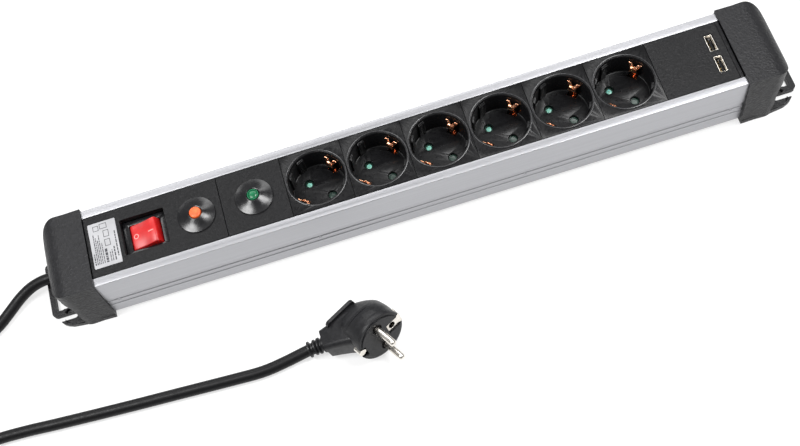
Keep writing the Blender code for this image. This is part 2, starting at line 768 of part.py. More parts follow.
def cap_cutters(name, side):
    """Cutters that hollow a cap: sleeve, rooms, screw holes and the scoops above its screw slots."""
    sleeve = span(side, CAP_EDGE - 1, PROFILE_HALF_LENGTH + GAP)
    room = span(side, PROFILE_HALF_LENGTH, ROOM_END)
    corridor = [
        (ROOM_END - 1, CAP_FLOOR),
        (CORRIDOR_END, CAP_FLOOR),
        (CORRIDOR_END, 35.0),
        (CORRIDOR_END - 4, 42.0),
        (ROOM_END - 1, 45.5),
    ]
    reach = PROFILE_HALF_WIDTH + GAP
    tools = [
        block(f"{name}_sleeve", (sleeve[0], -reach, 1.7), (sleeve[1], reach, TOP + GAP), None),
        block(f"{name}_room", (room[0], -27.0, CAP_FLOOR), (room[1], 27.0, 45.5), None),
        prism(f"{name}_corridor", placed(corridor, side), "Y", -CORRIDOR_HALF_WIDTH, CORRIDOR_HALF_WIDTH, None),
        block(
            f"{name}_ear_hole",
            (span(side, *EAR_HOLE_X)[0], -EAR_HOLE_HALF_WIDTH, -1.0),
            (span(side, *EAR_HOLE_X)[1], EAR_HOLE_HALF_WIDTH, CAP_BASE_HEIGHT + 1),
            None,
        ),
    ]
    slot_middle = (EAR_HALF_WIDTH + TONGUE_EDGE) / 2
    slot_radius = (TONGUE_EDGE - EAR_HALF_WIDTH) / 2
    for end in (-1, 1):
        slot = arc((SLOT_END_X, end * slot_middle), slot_radius, 90, 270, 8)
        slot += [
            (EAR_END, end * slot_middle - slot_radius),
            (EAR_END, end * slot_middle + slot_radius),
        ]
        tools.append(
            prism(f"{name}_slot", placed(slot, side), "Z", -1.0, CAP_BASE_HEIGHT + 1, None)
        )
        scoop_centre = (side * SCOOP_CENTRE[0], end * SCOOP_CENTRE[1], 0.0)
        screw_centre = (0.0, end * SCREW_PORT_Y, SCREW_PORT_Z)
        through = span(side, ROOM_END - 1, CAP_END + 2)
        counterbore = span(side, SCREW_HEAD_X - GAP, CAP_END + 2)
        tools += [
            turned(f"{name}_scoop", SCOOP_OUTLINE, 24, None, centre=scoop_centre),
            cylinder(
                f"{name}_screw_hole", SCREW_PORT_INNER, *through, "X", screw_centre, 12, None
            ),
            cylinder(
                f"{name}_counterbore", SCREW_HEAD_RADIUS + 0.6, *counterbore, "X", screw_centre, 16, None
            ),
        ]
    if side < 0:
        cord_centre = (0.0, CORD_Y, CORD_Z)
        tools.append(
            cylinder(
                f"{name}_cord_hole", CAP_CORD_HOLE_RADIUS, -266.0, -255.0, "X", cord_centre, 20, None
            )
        )
    return tools


def cap_end_x(y, half_width):
    """X of the +X cap's bulged end wall at a distance from its middle."""
    return CAP_END - CAP_END_BULGE * (y / half_width) ** 2


def cap_plan(half_width):
    """Plan outline of the +X cap's hood, with its bulged end and round corners."""
    inner = half_width - CAP_CORNER_ROUND
    corner = (cap_end_x(inner, half_width) - CAP_CORNER_ROUND, inner)
    half = [(CAP_EDGE - 2, half_width), (240.0, half_width - 0.3)]
    half += arc(corner, CAP_CORNER_ROUND, 85, 10, 7)
    half += [(cap_end_x(inner * part, half_width), inner * part) for part in (0.75, 0.5, 0.25)]
    return half + [(CAP_END, 0.0)] + [(x, -y) for x, y in reversed(half)]


def end_cap(name, side):
    """End cap: rounded hood over the profile's end, on a base plate with screw slots and an ear."""
    crown = (CAP_END - CAP_TOP_ROUND, CAP_TOP - CAP_TOP_ROUND)
    side_view = [(CAP_EDGE + CAP_EDGE_LEAN, 0.0), (CAP_END + 1, 0.0)]
    side_view += [(CAP_END + 1, crown[1])]
    side_view += arc(crown, CAP_TOP_ROUND, 0, 90, 9)
    side_view += [(CAP_EDGE, CAP_TOP)]
    reach = CAP_BASE_HALF_WIDTH + 1
    cap = prism(name, placed(side_view, side), "Y", -reach, reach, "black_cap_plastic")
    lean = (CAP_BASE_HALF_WIDTH - CAP_TOP_HALF_WIDTH) / CAP_TOP
    rings = []
    for height in (-1.0, CAP_TOP + 1):
        outline = placed(cap_plan(CAP_BASE_HALF_WIDTH - lean * height), side)
        rings.append([(x, y, height) for x, y in outline])
    boolean(cap, loft(f"{name}_plan", rings, None), "INTERSECT")
    base = prism(f"{name}_base", placed(cap_base_outline(), side), "Z", 0.0, CAP_BASE_HEIGHT, None)
    join(cap, base)
    cut(cap, *cap_cutters(name, side))


def cap_screws():
    """Four screws, two for each cap, into the profile's screw ports."""
    number = 1
    for side in (-1, 1):
        for end in (-1, 1):
            outline = [
                (SCREW_SHANK_RADIUS, side * SCREW_TIP_X),
                (SCREW_SHANK_RADIUS, side * SCREW_HEAD_X),
                (SCREW_HEAD_RADIUS, side * SCREW_HEAD_X),
                (SCREW_HEAD_RADIUS, side * (SCREW_HEAD_TOP - 0.5)),
                (SCREW_HEAD_RADIUS - 0.7, side * SCREW_HEAD_TOP),
            ]
            centre = (0.0, end * SCREW_PORT_Y, SCREW_PORT_Z)
            turned(f"cap_screw_{number}", outline, 14, "zinc", "X", centre)
            number += 1


def smooth_route(route):
    """Read points from a smooth curve through the route, about ROUTE_STEP apart."""
    points = [Vector(point) for point in route]
    padded = [2 * points[0] - points[1], *points, 2 * points[-1] - points[-2]]
    result = []
    for index in range(1, len(padded) - 2):
        before, start, end, after = padded[index - 1 : index + 3]
        steps = max(1, round((end - start).length / ROUTE_STEP))
        for step in range(steps):
            t = step / steps
            result.append(
                0.5
                * (
                    2 * start
                    + (end - before) * t
                    + (2 * before - 5 * start + 4 * end - after) * t**2
                    + (3 * start - before - 3 * end + after) * t**3
                )
            )
    result.append(points[-1])
    return result


def cord_tube(name, route):
    """One stretch of cord as a round tube with closed ends."""
    data = bpy.data.curves.new(name, "CURVE")
    data.dimensions = "3D"
    data.bevel_depth = CORD_RADIUS * MM
    data.bevel_resolution = 3
    data.use_fill_caps = True
    data.render_resolution_u = 0
    points = smooth_route(route)
    spline = data.splines.new("POLY")
    spline.points.add(len(points) - 1)
    for target, point in zip(spline.points, points):
        target.co = (*(point * MM), 1.0)
    add_object(name, data, "cord_black")


def cord():
    """Gland, both free stretches of cord, and the coil that holds the rest of its length."""
    gland = [
        (GLAND_RADII[0], GLAND_X[0]),
        (GLAND_RADII[1], GLAND_X[0] + 8.0),
        (GLAND_RADII[1], -253.0),
        (GLAND_FLANGE_RADIUS, -253.0),
        (GLAND_FLANGE_RADIUS, GLAND_X[1]),
    ]
    turned("cable_gland", gland, 20, "cord_black", "X", (0.0, CORD_Y, CORD_Z))
    cord_tube("cord_lead", LEAD_ROUTE)
    cord_tube("cord_plug_end", PLUG_ROUTE)
    inner, outer = COIL_MEAN_RADIUS - COIL_HALF_WIDTH, COIL_MEAN_RADIUS + COIL_HALF_WIDTH
    low, high = COIL_Z
    section = [
        (inner, low + 3.0),
        (inner + 3.0, low),
        (outer - 3.0, low),
        (outer, low + 3.0),
        (outer, low + 6.0),
        (outer - 5.0, high),
        (inner + 5.0, high),
        (inner, low + 6.0),
    ]
    turned("cord_coil", section, 40, "cord_black", centre=(*COIL_CENTRE, 0.0), ring=True)
    strap_in, strap_out = inner - 1.1, outer + 0.7
    tie = block(
        "coil_tie",
        (COIL_CENTRE[0] - strap_out - TIE_THICKNESS, COIL_CENTRE[1] - TIE_HALF_WIDTH, 0.1),
        (COIL_CENTRE[0] - strap_in + TIE_THICKNESS, COIL_CENTRE[1] + TIE_HALF_WIDTH, high + 1.1),
        "glossy_black",
    )
    loop = block(
        "tie_loop",
        (COIL_CENTRE[0] - strap_out, COIL_CENTRE[1] - TIE_HALF_WIDTH - 1, 0.1 + TIE_THICKNESS),
        (COIL_CENTRE[0] - strap_in, COIL_CENTRE[1] + TIE_HALF_WIDTH + 1, high + 1.1 - TIE_THICKNESS),
        None,
    )
    cut(tie, loop)


def plug_ring(left, right, half_height, depth, count=28):
    """Rounded section of the plug body between two X positions at one depth behind its face."""
    middle, half = (left + right) / 2, (right - left) / 2
    ring = []
    for index in range(count):
        turn = 2 * math.pi * index / count
        ring.append(
            (
                middle + half * math.copysign(abs(math.cos(turn)) ** 0.8, math.cos(turn)),
                half_height * math.copysign(abs(math.sin(turn)) ** 0.8, math.sin(turn)),
                -depth,
            )
        )
    return ring


def relief_shape(name, extra, finish):
    """Loft the plug's strain relief, made larger all round by the extra."""
    route = [Vector(point) for point in PLUG_RELIEF_ROUTE]
    route[0] += (route[0] - route[1]).normalized() * extra
    rings = []
    for index, (centre, radius) in enumerate(zip(route, PLUG_RELIEF_RADII)):
        ahead = route[min(index + 1, len(route) - 1)] - route[max(index - 1, 0)]
        turn = ahead.to_track_quat("Z", "Y").to_matrix()
        section = circle(radius + extra, 16)
        rings.append([centre + turn @ Vector((x, y, 0.0)) for x, y in section])
    return loft(name, rings, finish)


def plug():
    """Angled earthed plug lying on its side, its pins pointing slightly up."""
    frame = pivot("plug_frame", PLUG_CENTRE, (math.pi / 2 - PLUG_TILT, 0.0, PLUG_HEADING))
    face = [(x, y, 0.0) for x, y in circle(PLUG_RADIUS, 28)]
    collar = [(x, y, -4.0) for x, y in circle(PLUG_RADIUS, 28)]
    rings = [
        face,
        collar,
        plug_ring(-18.4, 18.0, 16.4, 9.0),
        plug_ring(-19.2, 17.2, 13.2, 18.0),
        plug_ring(-19.6, 13.4, 10.4, 26.0),
        plug_ring(-17.5, 6.0, 8.6, 31.0),
        plug_ring(-14.5, 2.0, 6.4, PLUG_DEPTH),
    ]
    body = loft("plug_body", rings, "plug_black", frame)
    sockets = []
    for index, height in enumerate((PIN_OFFSET, -PIN_OFFSET), start=1):
        pin = [
            (PLUG_PIN_RADIUS, -6.0),
            (PLUG_PIN_RADIUS, PLUG_PIN_LENGTH - 1.6),
            (PLUG_PIN_RADIUS - 0.7, PLUG_PIN_LENGTH - 0.4),
            (PLUG_PIN_RADIUS - 1.5, PLUG_PIN_LENGTH),
        ]
        place = (0.0, height, 0.0)
        turned(f"plug_pin_{index}", pin, 16, "nickel", centre=place, parent=frame)
        sockets.append(
            cylinder(
                f"plug_bore_{index}", PLUG_PIN_RADIUS + GAP, -6.3, 2.0, "Z", place, 16, None, frame
            )
        )
    cut(body, *sockets, relief_shape("relief_seat", GAP, None))
    relief_shape("plug_relief", 0.0, "plug_black")
    earth_hole = (10.4, 0.0, 0.0)
    for index, (low, high) in enumerate(((6.4, 18.7), (-18.7, -13.6)), start=1):
        contact = block(
            f"plug_earth_contact_{index}", (low, -4.2, -7.0), (high, 4.2, -0.4), "nickel", frame
        )
        recess = block(
            f"plug_recess_{index}",
            (low - GAP if low > 0 else low - 3, -4.5, -7.3),
            (high + 3 if low > 0 else high + GAP, 4.5, 2.0),
            None,
            frame,
        )
        cut(body, recess)
        if low > 0:
            bore = cylinder("earth_bore", 2.4, -5.5, 2.0, "Z", earth_hole, 16, None, frame)
            cut(contact, bore)


def build():
    """Make every piece of the strip."""
    clear_scene()
    housing_profile()
    socket_inserts()
    shutters()
    earth_clips()
    busbars()
    switch_module()
    rocker()
    breaker_and_lamp()
    usb_module()
    end_cap("end_cap_left", -1)
    end_cap("end_cap_right", 1)
    cap_screws()
    cord()
    plug()


build()
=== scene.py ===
"""Looks of the desk power strip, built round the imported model.

The strip lies along X with its cord end at -X and its near side at -Y, and Z is up. Sizes in this
script are millimetres, and MM turns them into metres where a mesh is made.
"""
import json
import math
import random

import bmesh
import bpy
from mathutils import Matrix, Vector

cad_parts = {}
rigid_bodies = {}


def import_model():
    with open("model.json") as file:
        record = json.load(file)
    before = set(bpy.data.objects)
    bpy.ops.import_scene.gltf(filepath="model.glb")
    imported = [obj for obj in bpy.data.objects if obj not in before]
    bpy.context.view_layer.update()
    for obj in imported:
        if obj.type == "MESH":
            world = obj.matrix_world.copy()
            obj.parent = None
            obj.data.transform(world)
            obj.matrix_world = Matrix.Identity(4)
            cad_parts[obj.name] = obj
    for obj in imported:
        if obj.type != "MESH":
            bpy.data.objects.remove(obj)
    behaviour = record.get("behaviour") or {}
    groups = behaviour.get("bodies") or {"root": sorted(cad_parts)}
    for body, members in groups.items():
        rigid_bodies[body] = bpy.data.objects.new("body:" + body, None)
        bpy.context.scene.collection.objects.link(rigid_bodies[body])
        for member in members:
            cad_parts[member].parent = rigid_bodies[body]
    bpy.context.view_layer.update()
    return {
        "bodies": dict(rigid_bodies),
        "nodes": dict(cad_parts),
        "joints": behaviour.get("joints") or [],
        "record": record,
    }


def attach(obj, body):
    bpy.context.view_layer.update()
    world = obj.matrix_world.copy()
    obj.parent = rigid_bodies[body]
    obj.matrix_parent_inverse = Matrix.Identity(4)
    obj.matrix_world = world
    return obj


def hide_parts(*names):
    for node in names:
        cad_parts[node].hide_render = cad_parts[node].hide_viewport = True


MM = 0.001
STRIP = "strip"

CORD_DIAMETER = 8.2
LEAD_ROUTE = (
    (-262.5, 7.0, 10.6),
    (-266.5, 7.0, 10.5),
    (-276.0, 6.9, 10.0),
    (-286.0, 5.5, 8.0),
    (-296.0, 1.0, 5.8),
    (-306.0, -6.8, 4.6),
    (-315.0, -14.2, 4.3),
    (-326.0, -20.4, 4.3),
    (-339.0, -23.4, 4.5),
    (-354.3, -21.6, 4.9),
    (-365.0, -18.2, 5.2),
)
PLUG_ROUTE = (
    (-374.0, -109.3, 13.3),
    (-362.0, -105.6, 13.1),
    (-354.5, -103.4, 11.4),
    (-348.0, -101.6, 9.2),
    (-339.0, -99.3, 6.7),
    (-326.0, -97.4, 4.7),
    (-305.0, -98.0, 4.3),
    (-283.0, -99.6, 4.3),
    (-240.0, -102.2, 4.3),
    (-200.0, -104.2, 4.3),
    (-160.0, -106.2, 4.3),
    (-138.0, -106.9, 4.3),
    (-122.0, -105.2, 4.5),
    (-104.4, -102.4, 5.4),
    (-98.0, -102.2, 6.6),
)
COIL_CENTRE = (-402.0, -63.0)
COIL_MEAN_RADIUS = 48.5
COIL_LOW_LAYER = 5.3
COIL_LAYER_STEP = 7.6
COIL_START = 62.0
COIL_END = 287.0
COIL_SHIFT = 150.0
COIL_POINTS_PER_TURN = 24

# Floor and lights; a softbox is a name, place, target, width and height, and power in watts
FLOOR_REACH = 20000.0
FLOOR_GLOW = 0.66
SURROUNDINGS = 0.3
SOFTBOXES = (
    ("upper_right", (500, -10, 1060), (-100, 0, 40), (450, 450), 11.0),
    ("upper_left", (-650, -20, 1080), (-130, 0, 40), (450, 450), 11.0),
    ("back", (-20, 1000, 900), (-20, 0, 40), (1600, 420), 9.5),
)

# Aluminium profile
GAP = 0.3
PROFILE_HALF_WIDTH = 29.6
PROFILE_HALF_LENGTH = 238.0
PROFILE_BASE = 2.0
PROFILE_WALL = 1.8
TOP = 48.0
LIP_EDGE = 23.3
LIP_UNDERSIDE = 45.6
LIP_ROUND = 0.5
LEDGE_TOP = 42.9
LEDGE_EDGE = 25.6
GROOVE_HEIGHTS = (15.8, 21.8)
# Offset from the groove's middle, and depth there
GROOVE_HALF_SHAPE = ((2.3, 0.0), (2.1, 0.15), (1.7, 0.5), (1.0, 0.62))
SCREW_PORT_Y = 24.4
SCREW_PORT_Z = 35.5
STAKE_X = (-221.0, -74.0, 74.0, 221.0)
STAKE_Z = 18.8
STAKE_OUTLINE = ((0.2, -1.7), (1.0, -1.3), (1.6, 0.0), (1.6, 1.0))

# Covers
COVER_HALF_WIDTH = 23.0
COVER_TOP = 47.9
COVER_UNDERSIDE = 43.2
FLANGE_HALF_WIDTH = 27.2
FLANGE_TOP = 45.3
SWITCH_COVER_X = (-228.0, -131.65)
INDICATOR_COVER_X = (-131.35, -85.9)
USB_COVER_X = (175.4, 225.1)
SPACER_X = (225.4, 228.0)
COVER_ROUND = 0.28
CUT_LOW = 40.0
CUT_HIGH = 50.0

# Sockets; outlines are radius and height, and angles are degrees about the socket's middle
SOCKET_PITCH = 43.5
FIRST_SOCKET_X = -64.0
SOCKET_WELL_RADIUS = 19.4
SOCKET_FLOOR = 30.5
PIN_OFFSET = 9.5
PIN_HOLE_RADIUS = 3.0
RIB_ANGLE = 19.6
RIB_SPREAD = 8.1
RIB_TOP = 45.2
PIN_AXIS = 135
CLIP_AXIS = 45
RIM_OUTLINE = ((21.3, 46.0), (21.3, 47.85), (21.05, 48.15), (20.5, 48.2), (20.5, 46.0))
WELL_MOUTH = ((SOCKET_WELL_RADIUS, 46.6), (19.6, 47.3), (20.0, 47.9), (20.5, 48.2), (20.5, 49.0))
PIN_HOLE_OUTLINE = ((PIN_HOLE_RADIUS, 27.0), (PIN_HOLE_RADIUS, 30.0), (3.6, 30.7), (3.6, 32.0))
SHUTTER_Z = (26.7, 28.1)
SHUTTER_END_RADIUS = 4.3
SHUTTER_BORE_RADIUS = 1.8
# Pale dome on one end of the shutter: a painted highlight of light falling in through one pin hole
SHUTTER_HIGHLIGHT_DOME = ((1.9, 28.0), (1.8, 28.16), (1.55, 28.28), (1.1, 28.36), (0.3, 28.4))
SHUTTER_COLLAR = ((2.0, 28.0), (2.5, 28.0), (2.5, 28.35), (2.0, 28.35))

# Earth contact strips: X, Y and Z of each point, and the strip's half width there
CLIP_HALF_WIDTH = 2.9
CLIP_REACH = 18.1
CLIP_BASE_Z = 23.9
CLIP_FINGER = (
    (18.1, 0.0, 23.6, 2.9),
    (18.1, 0.0, 29.0, 2.9),
    (18.0, 0.0, 32.5, 2.9),
    (17.3, 0.0, 35.2, 2.9),
    (16.2, 0.0, 37.2, 2.8),
    (15.2, 0.0, 38.5, 2.7),
    (14.9, 0.0, 39.4, 2.7),
    (15.2, 0.0, 40.2, 2.7),
    (16.1, 0.0, 41.0, 2.6),
    (16.9, 0.0, 41.6, 2.3),
)
CLIP_LUMP = ((15.7, 0.0, 38.2, 2.2), (15.2, 0.0, 39.3, 2.7), (15.7, 0.0, 40.5, 2.7), (16.9, 0.0, 41.7, 2.1))
CLIP_PRONG = ((16.0, 1.5, 41.0, 1.6), (16.9, 2.2, 42.0, 1.55), (17.7, 3.0, 42.9, 1.5), (18.2, 3.6, 43.9, 1.3))

# Switch, breaker button, lamp, label and charging ports
ROCKER_X = -187.0
ROCKER_PIVOT_Z = 39.5
ROCKER_REST_TILT = math.radians(-14)
ROCKER_HALF_WIDTH = 9.3
WELL_HALF = (15.8, 13.6)
SWITCH_BEZEL_HALF = (15.6, 13.4)
SWITCH_OPENING_HALF = (11.2, 9.7)
SWITCH_BODY_HALF = (14.0, 11.3)
SWITCH_BEZEL_Z = (41.2, 43.0)
SWITCH_BODY_Z = (20.0, 41.4)
SWITCH_ROOM_FLOOR = 26.0
PIVOT_RADIUS = 1.2
PIVOT_HALF_LENGTH = 10.4
BREAKER_X = -149.5
INDICATOR_X = -108.4
BEZEL_NECK_RADIUS = 7.6
BEZEL_INNER_RADIUS = 4.45
BUTTON_DOME = ((4.1, 44.5), (4.1, 52.0), (3.98, 52.4), (3.7, 52.7), (3.2, 52.85), (2.0, 52.97), (0.4, 53.0))
LENS_HOLDER = ((3.2, 44.5), (4.0, 44.5), (4.0, 52.1), (3.8, 52.35), (3.35, 52.35), (3.2, 52.1))
LENS_DOME = ((3.1, 45.0), (3.1, 51.7), (2.9, 52.1), (2.4, 52.4), (1.6, 52.55), (0.3, 52.6))
LABEL_X = (-225.4, -205.6)
LABEL_HALF_WIDTH = 17.2
LABEL_Z = (47.6, 48.0)
PRINT_BASE = 47.9
PRINT_TOP = 48.03
PRINT_GAP = 0.45
BOX_LINE = 0.4

# Printed rows: X, start and end in Y, and width; printed boxes: centre and half sizes
LABEL_BARS = (
    (-224.0, -14.5, -6.0, 0.9),
    (-222.6, -14.5, 9.0, 0.7),
    (-221.4, -14.5, 6.0, 0.6),
    (-220.2, -14.5, 4.0, 0.6),
    (-219.0, -14.5, 7.5, 0.6),
    (-217.6, -14.5, 1.0, 0.6),
    (-215.4, -14.5, -4.0, 1.7),
    (-212.8, -14.5, -7.0, 0.6),
    (-211.4, -14.5, -6.0, 0.6),
    (-209.6, -14.5, -4.0, 0.9),
    (-207.4, -12.0, 8.0, 0.8),
)
LABEL_BOXES = (
    (-213.4, 0.4, 2.0, 2.6),
    (-213.4, 7.4, 2.0, 2.6),
    (-214.6, 13.6, 2.6, 2.0),
    (-220.0, 12.8, 2.0, 2.0),
)
PORT_X = 217.2
PORT_Y = (8.6, -8.6)
PORT_HALF = (2.65, 6.45)
PORT_WALL = 0.38
PORT_Z = (32.5, 47.7)
PORT_FLOOR = 33.5
CONTACT_Y = (-3.6, -1.25, 1.25, 3.6)

# End caps
CAP_EDGE = 228.2
CAP_EDGE_LEAN = 2.4
CAP_END = 261.5
CAP_END_BULGE = 5.5
CAP_TOP_HALF_WIDTH = 30.9
CAP_BASE_HALF_WIDTH = 33.2
CAP_TOP = 49.6
CAP_TOP_ROUND = 15.0
CAP_CORNER_ROUND = 12.0
CAP_BASE_HEIGHT = 4.0
CAP_FLOOR = 2.4
ROOM_END = 247.0
ROOM_HALF_WIDTH = 27.0
CORRIDOR_END = 259.0
CORRIDOR_HALF_WIDTH = 14.2
SCREW_HEAD_X = 255.3
SCREW_TOOL_END = 265.0
SCREW_BORES = (("counterbore", 3.6, 255.0, 40), ("screw_hole", 1.9, 246.0, 24))
EAR_END = 275.5
EAR_HALF_WIDTH = 21.3
TONGUE_EDGE = 26.0
TONGUE_END = 269.8
SLOT_END_X = 259.5
EAR_HOLE_X = (262.8, 271.6)
EAR_HOLE_HALF_WIDTH = 17.2
SCOOP_CENTRE = (259.5, 24.6)
SHELF_TOP = 6.4
SCOOP_OUTLINE = (
    (6.6, 4.0),
    (6.6, 6.1),
    (7.0, 6.4),
    (8.6, 6.5),
    (8.8, 10.0),
    (9.0, 14.0),
    (9.2, 18.0),
    (9.2, 21.0),
    (9.0, 24.0),
    (8.5, 26.4),
    (7.6, 28.4),
    (6.2, 29.8),
    (4.4, 30.7),
    (2.2, 31.2),
    (0.3, 31.3),
)

# Cord fittings and plug
CORD_Y = 7.0
CORD_Z = 10.5
PLUG_CENTRE = (-53.2, -112.5, 19.1)
PLUG_HEADING = math.radians(28.7)
PLUG_TILT = math.radians(17)
# Radius and depth behind the plug's face
PLUG_FACE_STEPS = (
    (15.9, -0.9),
    (16.1, -0.7),
    (16.2, 0.0),
    (17.9, 0.0),
    (18.3, 0.15),
    (18.5, 0.6),
    (18.5, 3.6),
)
# Left, right, half height, depth behind the face, and power of the section's outline
PLUG_SECTIONS = (
    (-18.5, 18.4, 18.2, 5.0, 0.97),
    (-18.3, 18.2, 17.6, 9.0, 0.9),
    (-18.2, 17.6, 16.0, 14.0, 0.84),
    (-18.4, 16.4, 13.0, 20.0, 0.8),
    (-17.6, 12.0, 10.4, 26.0, 0.78),
    (-16.8, 6.6, 8.8, 30.4, 0.78),
    (-16.2, 5.4, 8.2, 31.0, 0.78),
)
# X, Y and Z of a section's middle, and its two half sizes
PLUG_NECK = (
    (-4.0, 0.0, -14.5, 15.0, 10.5),
    (-10.0, -0.2, -18.0, 13.6, 10.2),
    (-17.0, -0.6, -22.0, 11.0, 9.4),
    (-23.0, -1.3, -25.6, 9.4, 8.6),
    (-28.0, -2.2, -28.8, 8.2, 8.0),
)
RELIEF_ROUTE = (
    (-79.6, -102.4, 12.0),
    (-88.0, -102.3, 9.1),
    (-96.0, -102.0, 6.9),
    (-103.2, -102.2, 5.9),
)
PLUG_CUT_TOP = 2.0
PIN_RADIUS = 2.4
CONTACT_Z = (-7.0, -0.3)

# Plastics: slot, name, colour, roughness, grain and depth of texture, lighter tone, refraction
PLASTICS = (
    ("black_cap_plastic", "cap_plastic", (0.008, 0.008, 0.009), 0.42, 700.0, 0.4, 1.9, 1.34),
    ("black_cover_plastic", "cover_plastic", (0.005, 0.005, 0.0055), 0.38, 800.0, 0.4, 2.0, 1.28),
    ("socket_plastic", "socket_plastic", (0.005, 0.005, 0.0055), 0.3, 1500.0, 0.05, 1.5, 1.3),
    # Rim bead: real gloss, with a tone lighter than the plate as painted highlight of the rim's light line
    ("rim_gloss", "rim_gloss", (0.03, 0.03, 0.032), 0.25, 1500.0, 0.01, 1.5, 1.5),
    ("shutter_dark", "shutter_dark", (0.003, 0.022, 0.014), 0.4, 2200.0, 0.02, 1.3, 1.5),
    ("lens_ring", "lens_ring", (0.006, 0.12, 0.05), 0.3, 2200.0, 0.01, 1.2, 1.5),
    ("board_green", "board_green", (0.02, 0.15, 0.06), 0.45, 900.0, 0.02, 1.5, 1.5),
    ("component_blue", "component_blue", (0.04, 0.1, 0.4), 0.4, 700.0, 0.05, 1.5, 1.5),
    ("component_yellow", "component_yellow", (0.7, 0.5, 0.08), 0.5, 700.0, 0.05, 1.5, 1.5),
    ("cord_black", "cord_sheath", (0.004, 0.004, 0.0045), 0.42, 1500.0, 0.02, 1.4, 1.3),
    ("plug_black", "plug_rubber", (0.009, 0.009, 0.01), 0.36, 1600.0, 0.08, 1.4, 1.38),
    ("print_dark", "print_dark", (0.03, 0.03, 0.035), 0.6, 2000.0, 0.01, 1.5, 1.5),
    ("print_light", "print_light", (0.8, 0.3, 0.28), 0.5, 2000.0, 0.01, 1.1, 1.5),
)

# Metals: slot, colour, darker tone and roughness
METALS = (
    ("copper", (0.93, 0.5, 0.32), (0.78, 0.34, 0.18), 0.22),
    ("brass", (0.86, 0.68, 0.34), (0.7, 0.5, 0.2), 0.3),
    ("nickel", (0.82, 0.79, 0.74), (0.66, 0.62, 0.56), 0.2),
    ("zinc", (0.7, 0.71, 0.72), (0.52, 0.52, 0.5), 0.33),
)


def clear_scene():
    """Remove whatever the scene holds before the frame is loaded."""
    for item in list(bpy.data.objects):
        bpy.data.objects.remove(item, do_unlink=True)


def linked(name, data):
    """Make an object from its data and put it in the scene."""
    made = bpy.data.objects.new(name, data)
    bpy.context.scene.collection.objects.link(made)
    return made


def camera():
    """Camera at the reference view: above the near left, with the strip running to the right."""
    data = bpy.data.cameras.new("camera")
    data.lens = 46.88
    data.sensor_width = 36.0
    data.shift_x = 0.0375
    data.shift_y = 0.09625
    data.clip_end = 20.0
    made = linked("camera", data)
    made.location = Vector((-33.4, -345.1, 671.5)) * MM
    made.rotation_euler = tuple(math.radians(angle) for angle in (20.4, 7.7, -15.4))
    bpy.context.scene.camera = made


def smooth_step(value):
    """Ease from 0 to 1."""
    value = min(1.0, max(0.0, value))
    return value * value * (3 - 2 * value)


def coil_points():
    """Centreline of the coil: three turns inwards on the floor, then back outwards on top of them."""
    radii = [COIL_MEAN_RADIUS + CORD_DIAMETER * step for step in (1, 0, -1, -0.5, 0.5)]
    heights = [COIL_LOW_LAYER] * 3 + [COIL_LOW_LAYER + COIL_LAYER_STEP] * 2
    total = 360.0 * (len(radii) - 1) + COIL_END - COIL_START
    count = round(total / 360.0 * COIL_POINTS_PER_TURN)
    points = []
    for index in range(count + 1):
        travelled = total * index / count
        turn = int(travelled // 360.0)
        blend = smooth_step((travelled - 360.0 * turn) / COIL_SHIFT) if turn else 1.0
        lane = min(turn, len(radii) - 1)
        before = max(lane - 1, 0)
        radius = radii[before] + (radii[lane] - radii[before]) * blend
        height = heights[before] + (heights[lane] - heights[before]) * blend
        angle = math.radians(COIL_START + travelled)
        x = COIL_CENTRE[0] + radius * math.cos(angle)
        y = COIL_CENTRE[1] + radius * math.sin(angle)
        points.append(Vector((x, y, height)))
    return points


def smooth_curve(points, parts_between):
    """Read points from a smooth curve through the given ones, in the parts asked for between two."""
    padded = [2 * points[0] - points[1], *points, 2 * points[-1] - points[-2]]
    result = []
    for index in range(1, len(padded) - 2):
        before, start, end, after = padded[index - 1 : index + 3]
        parts = parts_between(start, end)
        for part in range(parts):
            t = part / parts
            slope = (end - before) * t
            bend = (2 * before - 5 * start + 4 * end - after) * t**2
            twist = (3 * start - before - 3 * end + after) * t**3
            result.append(0.5 * (2 * start + slope + bend + twist))
    return [*result, points[-1]]


def smooth_route(points, step):
    """Read points from a smooth curve through the given points, about one step apart."""
    return smooth_curve(points, lambda start, end: max(1, round((end - start).length / step)))


def cord(finish):
    """The whole mains cord as one round curve, from the left cap through its coil to the plug."""
    route = [Vector(point) for point in LEAD_ROUTE]
    route += coil_points()
    route += [Vector(point) for point in PLUG_ROUTE]
    points = smooth_route(route, 4.0)
    data = bpy.data.curves.new("mains_cord", "CURVE")
    data.dimensions = "3D"
    data.bevel_depth = CORD_DIAMETER / 2 * MM
    data.bevel_resolution = 6
    data.use_fill_caps = True
    spline = data.splines.new("POLY")
    spline.use_smooth = True
    spline.points.add(len(points) - 1)
    for target, point in zip(spline.points, points):
        target.co = (*(point * MM), 1.0)
    piece = linked("mains_cord", data)
    piece.data.materials.append(finish)
    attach(piece, STRIP)
    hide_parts("cord_lead", "cord_coil", "cord_plug_end")
    return piece


# ---- meshes


def shade(mesh, angle=32):
    """Shade a mesh smooth, apart from edges sharper than an angle in degrees."""
    mesh.shade_smooth()
    mesh.set_sharp_from_angle(angle=math.radians(angle))


def mesh_piece(name, points, faces, finish=None):
    """Make a smooth-shaded mesh from millimetre points and faces, turned outwards."""
    shape = bmesh.new()
    vertices = [shape.verts.new(Vector(point) * MM) for point in points]
    for face in faces:
        shape.faces.new([vertices[index] for index in face])
    bmesh.ops.recalc_face_normals(shape, faces=shape.faces)
    mesh = bpy.data.meshes.new(name)
    shape.to_mesh(mesh)
    shape.free()
    shade(mesh)
    made = linked(name, mesh)
    if finish:
        made.data.materials.append(finish)
    return made


